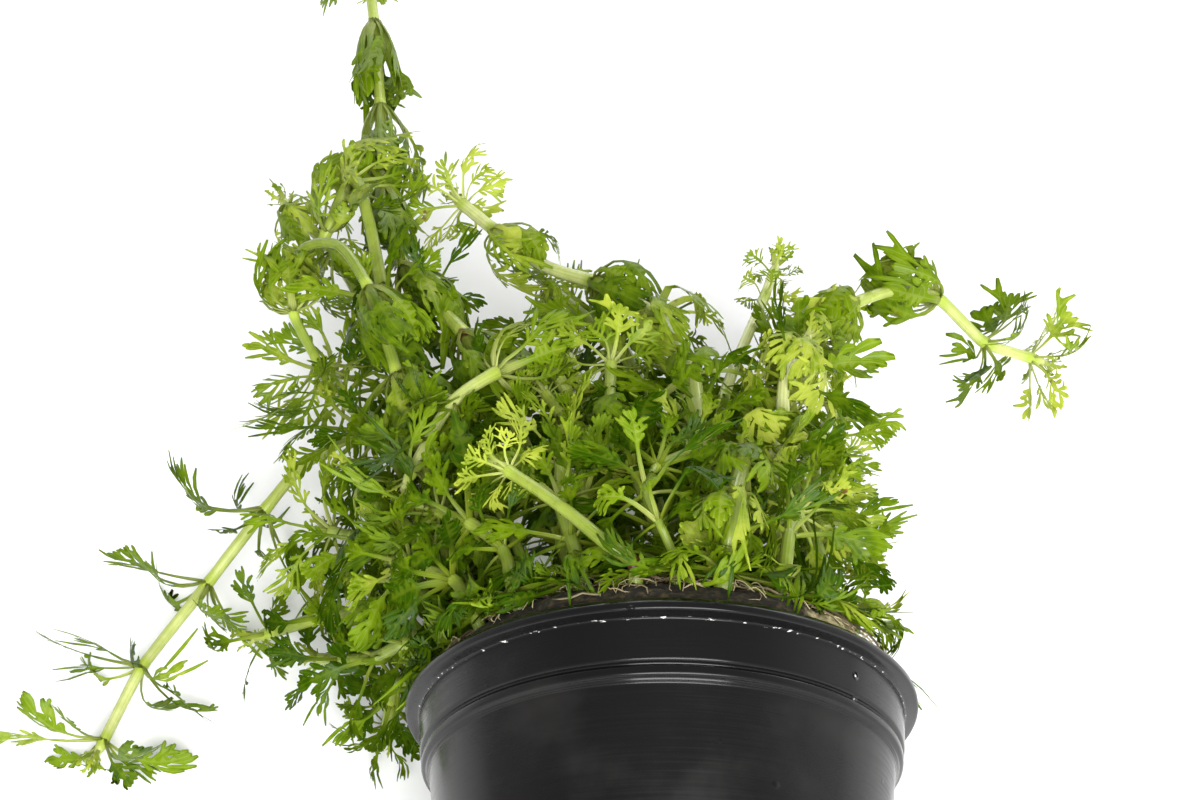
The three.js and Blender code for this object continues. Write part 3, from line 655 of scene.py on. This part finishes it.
def bend_leaf(pattern, leaf, fold, twist, curl, sway):
    """Bends a leaf pattern along the arc through the leaf's root, middle and tip."""
    root, middle, tip, side, width = (leaf[key] for key in ("root", "middle", "tip", "side", "width"))
    reach_in, reach_out = np.linalg.norm(middle - root), np.linalg.norm(tip - middle)
    at_middle = reach_in / (reach_in + reach_out)
    control = middle - (1 - at_middle) ** 2 * root - at_middle ** 2 * tip
    control = control / (2 * at_middle * (1 - at_middle))
    length = reach_in + reach_out
    share = pattern.points[:, 1:2] / NOMINAL_LENGTH
    line = (1 - share) ** 2 * root + 2 * share * (1 - share) * control + share ** 2 * tip
    run = unit_rows((1 - share) * (control - root) + share * (tip - control))
    side = unit_rows(side - (run @ side)[:, None] * run)
    face = np.cross(side, run)
    angle = twist * share
    side, face = side * np.cos(angle) + face * np.sin(angle), face * np.cos(angle) - side * np.sin(angle)
    across = pattern.points[:, :1] * width / (2 * NOMINAL_HALF)
    blade = np.clip((share - 0.25) / 0.3, 0, 1)
    narrow = NOMINAL_HALF * 2 / width * math.sqrt(length / NOMINAL_LENGTH)
    across = across * (blade + (1 - blade) * narrow)
    across = across + sway * np.sin(share * math.pi) * np.sin(share * 5.0)
    lift = pattern.points[:, 2:] * math.sqrt(length / NOMINAL_LENGTH)
    lift = lift + blade * fold * np.abs(across) ** 1.5 + curl * np.maximum(0, share - 0.5) ** 2 * length
    return line + side * across + face * lift


# What each stem's rings of leaves look like, from the root to the tip: D is dark, for old leaves and, on the
# low rings deep in the clump, partly as painted shade; G green, L light, and F the fine yellow-green of
# young growth. A small letter is a sparse ring.
RING_LOOKS = {
    "tall": "GGGLGl", "cup": "GGGLL", "star": "GGLL", "droop": "GGLL", "left_column": "GL",
    "long_left": "GGGGG", "red_star": "GL", "green_star": "GL", "arched": "GLG", "thick": "F",
    "stub": "GL", "hanging": "DGL", "centre_star": "DGL", "thin": "DL", "rim": "LG", "bright": "GLF",
    "upper": "GgLGLF", "second_upper": "ggL", "bud": "glfl", "long_right": "GGLLLGF",
    "right_side": "Lgl", "lower_right": "gL", "right_front": "LL", "right_rim": "ll",
    "right_low": "GGL", "left_front": "DG", "left_rim": "DG", "left_upper": "GGL", "left_middle": "dgd",
    "brown_left": "Ddg", "bottom_left": "DG", "middle": "DDG", "far": "Dgg", "middle_right": "DGl",
    "low": "DDDD", "low_left": "DDDG", "low_right": "DG", "left_low": "DDG", "floor_left": "D",
    "floor_right": "D",
}
# The tone of each look, and the forms of its leaves in an open ring and in one that closes like a cage
LOOKS = {
    "D": (0.12, ("blade", "broad", "broad"), ("strap", "strap", "blade")),
    "G": (0.36, ("broad", "comb", "comb", "slim"), ("strap", "strap", "comb")),
    "L": (0.62, ("comb", "comb", "feather"), ("strap", "comb", "feather")),
    "F": (0.84, ("feather", "feather", "comb"), ("feather", "comb")),
}
OPEN_RING_LEAVES = 9
CLOSED_RING_LEAVES = 11
SPARSE_RING_LEAVES = 6
# How pale the skin of each stem is, for those that show; the rest are green
PALE_STEMS = {"long_left": 0.75, "bright": 0.95, "bud": 0.9, "arched": 0.7, "upper": 0.8,
              "long_right": 0.7, "tall": 0.5, "thick": 0.35, "cup": 0.2}
GREEN_STEM = 0.3
# The stems that are thinner than their solids, by the share of the thickness that they keep
THINNED = {"thick": 0.74, "tall": 0.9, "bud": 0.85, "cup": 0.85, "long_left": 0.84, "arched": 0.88,
           "long_right": 0.9}
# The stems whose leaves are wider than those of their solids, and how many times
WIDENED = {"long_right": 1.6, "long_left": 1.15, "tall": 1.2, "cup": 1.15, "bright": 1.3}
# How a closed ring departs from its solid: the pull to the stem at the middles and at the tips of its
# leaves, and the stretch along the stem
HUGGING = {"tall": (0.42, 0.42, 1.45), "long_right": (0.05, 0.45, 0.85), "upper": (-0.05, 0.25, 1.0)}
USUAL_HUG = (0.2, 0.2, 1.0)
# The rings whose leaves arch out and meet again over the stem, like a cup
CUPPED = {("cup", 3), ("bright", 1)}
CUP_HUG = (0.0, 0.8, 0.71)
# The joints with a brown scar, where an old ring of leaves fell or a root came out
SCARRED = {"tall": 6, "thick": 2, "long_right": 3}
# The short leaves round the root of each stem, and those on its bare joints inside the clump
# Painted shade: the short leaves get dark tones, partly as older leaves and partly to stand in for the shade
# deep in the clump.
ROOT_FILL = dict(leaves=12, forms=("slim", "feather", "strap"), length=(10, 24), width=0.3, lightest=0.42)
JOINT_FILL = dict(leaves=6, forms=("broad", "comb", "slim"), length=(11, 18), width=0.38, lightest=0.35)
# How far out from the mouth the bare joints still carry them, on most stems and on three others, and
# how far such a joint is from the next ring of leaves
FILL_DEPTH = 58
FILL_DEPTHS = {"tall": 98, "left_column": 90, "cup": 92}
RING_APART = 6
# The stems with no short leaves
BARE_STEMS = {"bud", "thick", "right_rim"}
BUD_LEAVES = 9
BUD_TONE = 0.7
STEM_SIDES = 12
STEM_STEP = 1.6
# How deep a stem starts in the medium, its thickness against that of its solid, which has corners, and
# its swelling at a joint with the length of it and of the greener stretch there
BURIED = 3.5
ROUND_SHARE = 0.88
SWELLING = 0.1
SWELLING_LENGTH = 1.3
GREENER_LENGTH = 2.6
# No leaf goes lower than the first height, and those above the second are pressed down towards it
LOWEST = 0.15
HIGHEST = 96
# Leaves that lie over the medium end this far inside the lip
LIP_INSET = 1.5


def turned_copy(leaf, centre, axis, angle):
    """A leaf's main points turned round the stem."""
    cosine, sine = math.cos(angle), math.sin(angle)

    def turn(vector):
        return vector * cosine + np.cross(axis, vector) * sine + axis * (axis @ vector) * (1 - cosine)

    return {key: centre + turn(leaf[key] - centre) for key in ("root", "middle", "tip")} | {
        "side": turn(leaf["side"]), "width": leaf["width"]}


def lay_over(point, height):
    """A leaf's point, brought to a height over the medium and kept inside the pot's lip."""
    offset = point - MOUTH
    across, up = offset @ ACROSS_MOUTH, offset @ UP_MOUTH
    inside = min(1, (LIP_RADIUS - LIP_INSET) / max(math.hypot(across, up), 1))
    across, up = across * inside, up * inside
    return from_mouth(across, up, max(2.2, plug_bulge(across, up)) + height)


def is_clear(point):
    """True where a leaf's point is outside the pot and its medium."""
    offset = point - MOUTH
    out = offset @ ALONG_POT
    radius = np.linalg.norm(offset - out * ALONG_POT)
    if out < 1.5 and radius < LIP_RADIUS + 1.5 - max(0, -out) * 0.1:
        return False
    if radius < PLUG_RADIUS and out < plug_bulge(offset @ ACROSS_MOUTH, offset @ UP_MOUTH) + 0.5:
        return False
    return True


def ring_leaves(centre, axis, leaves, sparse, hug, chance):
    """Fills a ring up with leaves between those of the solid."""
    helper, other = square_to(axis, (0.2, 0.3, 0.9))
    for leaf in leaves:
        offset = leaf["root"] - centre
        leaf["angle"] = math.atan2(offset @ other, offset @ helper)
        edge_one, edge_two = leaf["edges"]
        leaf["middle"] = (edge_one + edge_two) / 2
        side = edge_two - edge_one
        leaf["width"] = np.linalg.norm(side)
        outward = unit(offset - axis * (offset @ axis))
        side = unit(side)
        leaf["side"] = side if side @ np.cross(outward, axis) > 0 else -side
    own = sorted(leaves, key=lambda leaf: leaf["angle"])
    grown = [dict(leaf) for leaf in own]
    closed = np.mean([unit(leaf["tip"] - leaf["root"]) @ axis for leaf in own]) < -0.3
    wanted = SPARSE_RING_LEAVES if sparse else CLOSED_RING_LEAVES if closed else OPEN_RING_LEAVES
    pitch = 2 * math.pi / wanted
    for k, leaf in enumerate(own):
        following = own[(k + 1) % len(own)]
        gap = (following["angle"] - leaf["angle"]) % (2 * math.pi) or 2 * math.pi
        extra = int(round(gap / pitch)) - 1
        for number in range(extra):
            share = (number + 1) / (extra + 1)
            one = turned_copy(leaf, centre, axis, gap * share)
            two = turned_copy(following, centre, axis, gap * (share - 1))
            weight = share if gap < 2.6 else round(share)
            mixed = {key: one[key] * (1 - weight) + two[key] * weight for key in one}
            mixed["side"] = unit(mixed["side"])
            size = chance.uniform(0.72, 0.98)
            mixed["middle"] = mixed["root"] + (mixed["middle"] - mixed["root"]) * size
            mixed["tip"] = mixed["root"] + (mixed["tip"] - mixed["root"]) * size
            mixed["tip"] += axis * chance.normal(0, 1.2)
            if is_clear(mixed["middle"]) and is_clear(mixed["tip"]):
                grown.append(mixed)
    if closed:
        middle_pull, tip_pull, stretch = hug
        for leaf in grown:
            for key, pull in (("middle", middle_pull), ("tip", tip_pull)):
                offset = leaf[key] - centre
                along = axis * (offset @ axis)
                leaf[key] = centre + along * stretch + (offset - along) * (1 - pull)
    return grown, closed


def root_leaf(centre, radius, angle, chance):
    """A leaf that lies over the medium, so that it hides it and the foot of the stem."""
    heading = unit(ACROSS_MOUTH * math.cos(angle) * 1.5 + UP_MOUTH * math.sin(angle))
    length = chance.uniform(*ROOT_FILL["length"])
    root = centre + heading * radius * 0.6
    middle = lay_over(root + heading * length * 0.5, chance.uniform(1.5, 7))
    tip = lay_over(middle + heading * length * 0.5, chance.uniform(0.8, 9))
    side = unit(np.cross(heading, ALONG_POT) + ALONG_POT * chance.uniform(-0.5, 0.5))
    return {"root": root, "middle": middle, "tip": tip, "side": side, "width": length * ROOT_FILL["width"]}


def joint_leaf(centre, radius, angle, axis, chance):
    """A leaf on a bare joint, or None where it would enter the pot, its medium or the table."""
    helper, other = square_to(axis)
    heading = helper * math.cos(angle) + other * math.sin(angle)
    length = chance.uniform(*JOINT_FILL["length"])
    root = centre + heading * radius * 0.6
    middle = root + unit(heading + axis * chance.uniform(0.1, 0.9)) * length * 0.5
    tip = middle + unit(heading + axis * chance.uniform(-0.7, 0.6)) * length * 0.5
    if not (is_clear(middle) and is_clear(tip)) or min(middle[2], tip[2]) < 1:
        return None
    return {"root": root, "middle": middle, "tip": tip, "side": unit(np.cross(heading, axis)),
            "width": length * JOINT_FILL["width"]}


def bud_leaf(k, end, ahead, radius, chance):
    """One of the small young leaves that close round the tip, from the innermost out."""
    helper, other = square_to(ahead)
    angle = k * 2.4 + chance.uniform(-0.2, 0.2)
    outward = helper * math.cos(angle) + other * math.sin(angle)
    place = k / (BUD_LEAVES - 1)
    size = 2.6 + 2.6 * place
    opening = 0.35 + 0.55 * place
    root = end - ahead * (0.2 + 2.4 * place) + outward * radius * 0.5
    middle = root + (ahead + outward * opening) * size * 0.5
    tip = middle + (ahead * 1.1 + outward * opening * 0.5) * size * 0.5
    return {"root": root, "middle": middle, "tip": tip, "side": unit(np.cross(outward, ahead)),
            "width": size * 0.62}


def grow_stem(name, chance):
    """The smooth stem and all its leaves as arrays: points, faces, face materials and marks."""
    rings, leaves = read_stem(name + "_stem")
    centres = np.array([ring[0] for ring in rings])
    radii = np.array([ring[1] for ring in rings])
    radii[-1] = radii[-2] * 0.45
    start = unit(centres[1] - centres[0])
    centres = np.concatenate([[centres[0] - start * BURIED], centres])
    radii = np.concatenate([[radii[0]], radii])
    line, places = smooth_line(centres, STEM_STEP)
    joints = {}
    for leaf in leaves:
        joints.setdefault(leaf["ring"], []).append(leaf)
    joint_centres = {ring_number: (centres[ring_number + 1] + centres[ring_number + 2]) / 2
                     for ring_number in joints}
    near_joint = np.zeros(len(line))
    radius = np.interp(places, np.arange(len(radii)), radii) * ROUND_SHARE * THINNED.get(name, 1)
    for joint in joint_centres.values():
        distance = np.linalg.norm(line - joint, axis=1)
        near_joint = np.maximum(near_joint, 0.95 * np.exp(-(distance / GREENER_LENGTH) ** 2))
        radius = radius * (1 + SWELLING * np.exp(-(distance / SWELLING_LENGTH) ** 2))
    scar = np.zeros(len(line))
    if name in SCARRED:
        distance = np.linalg.norm(line - centres[SCARRED[name]], axis=1)
        scar = np.exp(-(distance / SWELLING_LENGTH) ** 2)

    along = unit_rows(np.gradient(line, axis=0))
    outward = [unit(np.cross(along[0], [0.1, 0.2, 0.97]))]
    for direction in along[1:]:
        outward.append(unit(outward[-1] - direction * (outward[-1] @ direction)))
    outward = np.array(outward)
    tube = tube_rings(line, outward, np.cross(along, outward), radius, STEM_SIDES)
    points = [np.concatenate([tube.reshape(-1, 3), line[:1], line[-1:] + along[-1:] * 0.4])]
    count = len(points[0])
    quads = [grid_faces(len(line), STEM_SIDES)]
    tris = [cap_faces(len(line), STEM_SIDES)]
    share = np.linspace(0, 1, len(line))
    pale = PALE_STEMS.get(name, GREEN_STEM)
    corner = np.arange(STEM_SIDES)
    marks = {
        "tone": [np.append(np.repeat(pale * (0.5 + 0.6 * share), STEM_SIDES), [pale, pale])],
        "growth": [np.append(np.repeat(share, STEM_SIDES), [0, 1])],
        "rim": [np.append(np.repeat(near_joint, STEM_SIDES), [0, 0])],
        "fate": [np.append(np.repeat(scar, STEM_SIDES), [0, 0])],
        "across": [np.append(np.tile(np.minimum(corner, STEM_SIDES - corner), len(line)), [0, 0])],
    }

    def add_leaf(pattern, leaf, look_tone):
        nonlocal count
        bent = bend_leaf(pattern, leaf, chance.normal(-0.1, 0.09), chance.normal(0, 0.5),
                         chance.normal(-0.1, 0.4), chance.normal(0, 0.5))
        height = np.maximum(bent[:, 2], LOWEST)
        bent[:, 2] = np.minimum(height, HIGHEST + (height - HIGHEST) * 0.3)
        points.append(bent)
        quads.append(pattern.quads + count)
        tris.append(pattern.tris + count)
        count += len(bent)
        marks["tone"].append(np.full(len(bent), look_tone + chance.normal(0, 0.14)))
        marks["growth"].append(pattern.points[:, 1] / NOMINAL_LENGTH)
        marks["rim"].append(pattern.rims)
        marks["fate"].append(np.full(len(bent), chance.uniform()))
        marks["across"].append(pattern.points[:, 0])

    order = sorted(joints)
    for number, (ring_number, look) in enumerate(zip(order, RING_LOOKS[name])):
        centre = joint_centres[ring_number]
        axis = unit(centres[ring_number + 2] - centres[ring_number + 1])
        look_tone, open_kinds, closed_kinds = LOOKS[look.upper()]
        hug = CUP_HUG if (name, number) in CUPPED else HUGGING.get(name, USUAL_HUG)
        grown, closed = ring_leaves(centre, axis, joints[ring_number], look.islower(), hug, chance)
        kinds = closed_kinds if closed else open_kinds
        for leaf in grown:
            leaf["root"] = leaf["root"] + (centre - leaf["root"]) * 0.35
            leaf["width"] = leaf["width"] * WIDENED.get(name, 1)
            pattern = patterns[kinds[chance.integers(len(kinds))]][chance.integers(PATTERNS_EACH)]
            add_leaf(pattern, leaf, look_tone)
    # Short leaves on the bare joints inside the clump, and round the root
    taken = [joint_centres[ring_number] for ring_number in order]
    for number in range(1, len(centres) - 2):
        at_root = number == 1
        centre = centres[1] + start * 1.5 if at_root else centres[number]
        crowded = min(np.linalg.norm(centre - other) for other in taken) < RING_APART
        outside = (centre - MOUTH) @ ALONG_POT > FILL_DEPTHS.get(name, FILL_DEPTH)
        if crowded or outside or name in BARE_STEMS:
            continue
        taken.append(centre)
        axis = unit(centres[number + 1] - centres[number])
        fill = ROOT_FILL if at_root else JOINT_FILL
        for k in range(fill["leaves"]):
            angle = 2 * math.pi * (k + chance.uniform(-0.25, 0.25)) / fill["leaves"]
            if at_root:
                leaf = root_leaf(centre, radii[number], angle, chance)
            else:
                leaf = joint_leaf(centre, radii[number], angle, axis, chance)
            if leaf:
                pattern = patterns[fill["forms"][k % 3]][chance.integers(PATTERNS_EACH)]
                # The short leaves' low tone is partly painted shade deep in the clump.
                add_leaf(pattern, leaf, chance.uniform(-0.05, fill["lightest"]))
    for k in range(BUD_LEAVES):
        leaf = bud_leaf(k, line[-1], along[-1], radius[-1], chance)
        add_leaf(patterns["young"][k % 4], leaf, BUD_TONE)
    on_leaf = [np.arange(sum(map(len, faces))) >= len(faces[0]) for faces in (quads, tris)]
    return (np.concatenate(points), [np.concatenate(quads), np.concatenate(tris)],
            np.concatenate(on_leaf), {mark: np.concatenate(values) for mark, values in marks.items()})


# Living tissue: an effect that leaf and stem share gives the fine cells, the wet patches and the mottle
skin = bpy.data.node_groups.new("living_skin", "ShaderNodeTree")
skin.interface.new_socket("Cell Size", in_out="INPUT", socket_type="NodeSocketFloat").default_value = 1500
skin.interface.new_socket("Roughness", in_out="OUTPUT", socket_type="NodeSocketFloat")
skin.interface.new_socket("Height", in_out="OUTPUT", socket_type="NodeSocketFloat")
skin.interface.new_socket("Mottle", in_out="OUTPUT", socket_type="NodeSocketFloat")
given = skin.nodes.new("NodeGroupInput")
result = skin.nodes.new("NodeGroupOutput")
place = add_node(skin, "ShaderNodeTexCoord").outputs["Object"]
cells = cloud(skin, place, given.outputs["Cell Size"], 2.0)
wetness = cloud(skin, place, 160.0, 2.0)
mottle = cloud(skin, place, 320.0, 4.0)
skin.links.new(ramp(skin, wetness, 0.35, 0.65, 0.2, 0.42), result.inputs["Roughness"])
skin.links.new(cells, result.inputs["Height"])
skin.links.new(mottle, result.inputs["Mottle"])


def tissue(name, shades, cell_size, lines_apart, blotches):
    """A living material: its colours from dark to light, its cells, its veins and its uneven patches."""
    material, tree, shader = new_material(name, shades[1], 0.4)
    marks = {mark: add_node(tree, "ShaderNodeAttribute", attribute_name=mark).outputs["Fac"]
             for mark in ("tone", "growth", "rim", "fate", "across")}
    group = add_node(tree, "ShaderNodeGroup", node_tree=skin)
    group.inputs["Cell Size"].default_value = cell_size
    patch = ramp(tree, group.outputs["Mottle"], 0.3, 0.7, -blotches, blotches)
    spread = reckon(tree, "ADD", marks["tone"], patch)
    green = blend_colour(tree, ramp(tree, spread, 0.0, 0.5), shades[0], shades[1])
    green = blend_colour(tree, ramp(tree, spread, 0.5, 1.0), green, shades[2])
    wave = reckon(tree, "SINE", reckon(tree, "MULTIPLY", marks["across"], 2 * math.pi / lines_apart), 0.0)
    height = reckon(tree, "ADD", group.outputs["Height"], ramp(tree, wave, -1.0, 1.0, 0.0, 0.5))
    tree.links.new(bump(tree, height, 0.0001, 0.5), shader.inputs["Normal"])
    tree.links.new(group.outputs["Roughness"], shader.inputs["Roughness"])
    return tree, shader, marks, group, green, ramp(tree, wave, -0.4, 1.0), material


LEAF_SHADES = ((0.032, 0.085, 0.001), (0.165, 0.262, 0.003), (0.48, 0.55, 0.06))
tree, shader, marks, group, green, lines, leaf_skin = tissue(
    "leaf", LEAF_SHADES, cell_size=1500, lines_apart=0.4, blotches=0.14)
pale_stalk = blend_colour(tree, ramp(tree, marks["tone"], 0.1, 0.8), (0.22, 0.28, 0.02), (0.54, 0.58, 0.18))
on_stalk = ramp(tree, marks["growth"], 0.5, 0.1)
green = blend_colour(tree, on_stalk, green, pale_stalk)
vein = reckon(tree, "MULTIPLY", ramp(tree, marks["rim"], 0.3, 0.0), 0.3)
green = blend_colour(tree, vein, green, pale_stalk)
lined = reckon(tree, "MULTIPLY", reckon(tree, "MULTIPLY", lines, on_stalk), 0.35)
green = blend_colour(tree, lined, green, (0.08, 0.16, 0.01))
bruised_leaf = ramp(tree, marks["fate"], 0.8, 0.9)
bruise = reckon(tree, "MULTIPLY", ramp(tree, group.outputs["Mottle"], 0.66, 0.74), bruised_leaf)
green = blend_colour(tree, bruise, green, (0.16, 0.07, 0.02))
tree.links.new(green, shader.inputs["Base Color"])
shader.inputs["Specular IOR Level"].default_value = 0.13
lit_through = add_node(tree, "ShaderNodeBsdfTranslucent")
glow = blend_colour(tree, 0.35, green, (0.38, 0.52, 0.01))
tree.links.new(glow, lit_through.inputs["Color"])
both = add_node(tree, "ShaderNodeMixShader", {0: 0.42, 1: shader.outputs[0], 2: lit_through.outputs[0]})
tree.links.new(both.outputs[0], tree.nodes["Material Output"].inputs["Surface"])

STEM_SHADES = ((0.1, 0.15, 0.012), (0.27, 0.33, 0.05), (0.56, 0.58, 0.27))
tree, shader, marks, group, green, lines, stem_skin = tissue(
    "stem", STEM_SHADES, cell_size=1100, lines_apart=1.0, blotches=0.05)
green = blend_colour(tree, ramp(tree, marks["rim"], 0.2, 0.9), green, (0.3, 0.38, 0.05))
green = blend_colour(tree, reckon(tree, "MULTIPLY", lines, 0.3), green, (0.24, 0.31, 0.04))
scar = reckon(tree, "ADD", marks["fate"], ramp(tree, group.outputs["Mottle"], 0.3, 0.7, -0.25, 0.25))
green = blend_colour(tree, ramp(tree, scar, 0.4, 0.65), green, (0.13, 0.05, 0.018))
tree.links.new(green, shader.inputs["Base Color"])
shader.inputs["Specular IOR Level"].default_value = 0.3
shader.inputs["Subsurface Weight"].default_value = 0.25
shader.inputs["Subsurface Radius"].default_value = (0.8, 1.0, 0.25)
shader.inputs["Subsurface Scale"].default_value = 0.0015

chance = np.random.default_rng(5)
for name in RING_LOOKS:
    node = name + "_stem"
    stem_points, stem_faces, kinds, stem_marks = grow_stem(name, chance)
    shoot = make_piece(name + "_shoot", stem_points, stem_faces, [stem_skin, leaf_skin], kinds, stem_marks)
    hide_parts(node)
    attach(shoot, "root")

# The table is a plain white sheet. The light is one soft box above and behind the camera, a long low
# one beyond the plant, and the white room round them, which is brightest near the table and dimmer
# towards the left.
bpy.ops.mesh.primitive_plane_add(size=6, location=(0, 0, 0))
table_top = bpy.context.object
table_top.name = "table_top"
white, tree, shader = new_material("white_sheet", (0.9, 0.9, 0.9), 0.8)
table_top.data.materials.append(white)


def add_soft_box(name, place, aim, size, watts):
    light = bpy.data.lights.new(name, "AREA")
    light.shape = "RECTANGLE"
    light.size, light.size_y = size
    light.energy = watts
    box = bpy.data.objects.new(name, light)
    box.location = place
    box.rotation_euler = (Vector(aim) - Vector(place)).to_track_quat("-Z", "Y").to_euler()
    bpy.context.collection.objects.link(box)


add_soft_box("key_box", place=(0.15, -1.0, 1.0), aim=(0, 0.02, 0), size=(0.9, 0.7), watts=43)
add_soft_box("far_box", place=(0.3, 1.2, 0.35), aim=(0, 0, 0.03), size=(1.6, 0.4), watts=9)
world = bpy.data.worlds.new("white_room")
world.use_nodes = True
tree = world.node_tree
sideways, _, upward = add_node(tree, "ShaderNodeSeparateXYZ", {
    "Vector": add_node(tree, "ShaderNodeTexCoord").outputs["Generated"]}).outputs
tree.nodes["Background"].inputs["Color"].default_value = (1, 1, 1, 1)
from_left = ramp(tree, sideways, -0.9, -0.1, 0.5, 1.0)
strength = reckon(tree, "MULTIPLY", ramp(tree, upward, 0.15, 0.85, 1.45, 0.45), from_left)
tree.links.new(strength, tree.nodes["Background"].inputs["Strength"])
bpy.context.scene.world = world
bpy.context.scene.view_settings.view_transform = "Standard"

# The camera is a long lens that looks down at 51 degrees, from behind the base of the pot. Its place
# comes from fitting a pinhole camera to the outline of the pot's lip and bead in the photograph.
ELEVATION = math.radians(51)
DISTANCE = 640
AIM_FROM_MOUTH = np.array([-11, 107, 0])
camera_data = bpy.data.cameras.new("camera")
camera_data.sensor_width = 36
camera_data.lens = 90
camera_data.clip_start = 0.01
camera = bpy.data.objects.new("camera", camera_data)
bpy.context.collection.objects.link(camera)
look = np.array([0, math.cos(ELEVATION), -math.sin(ELEVATION)])
aim_point = MOUTH * [1, 1, 0] + AIM_FROM_MOUTH
camera.location = (aim_point - DISTANCE * look) * MM
camera.rotation_euler = (math.pi / 2 - ELEVATION, 0, 0)
bpy.context.scene.camera = camera
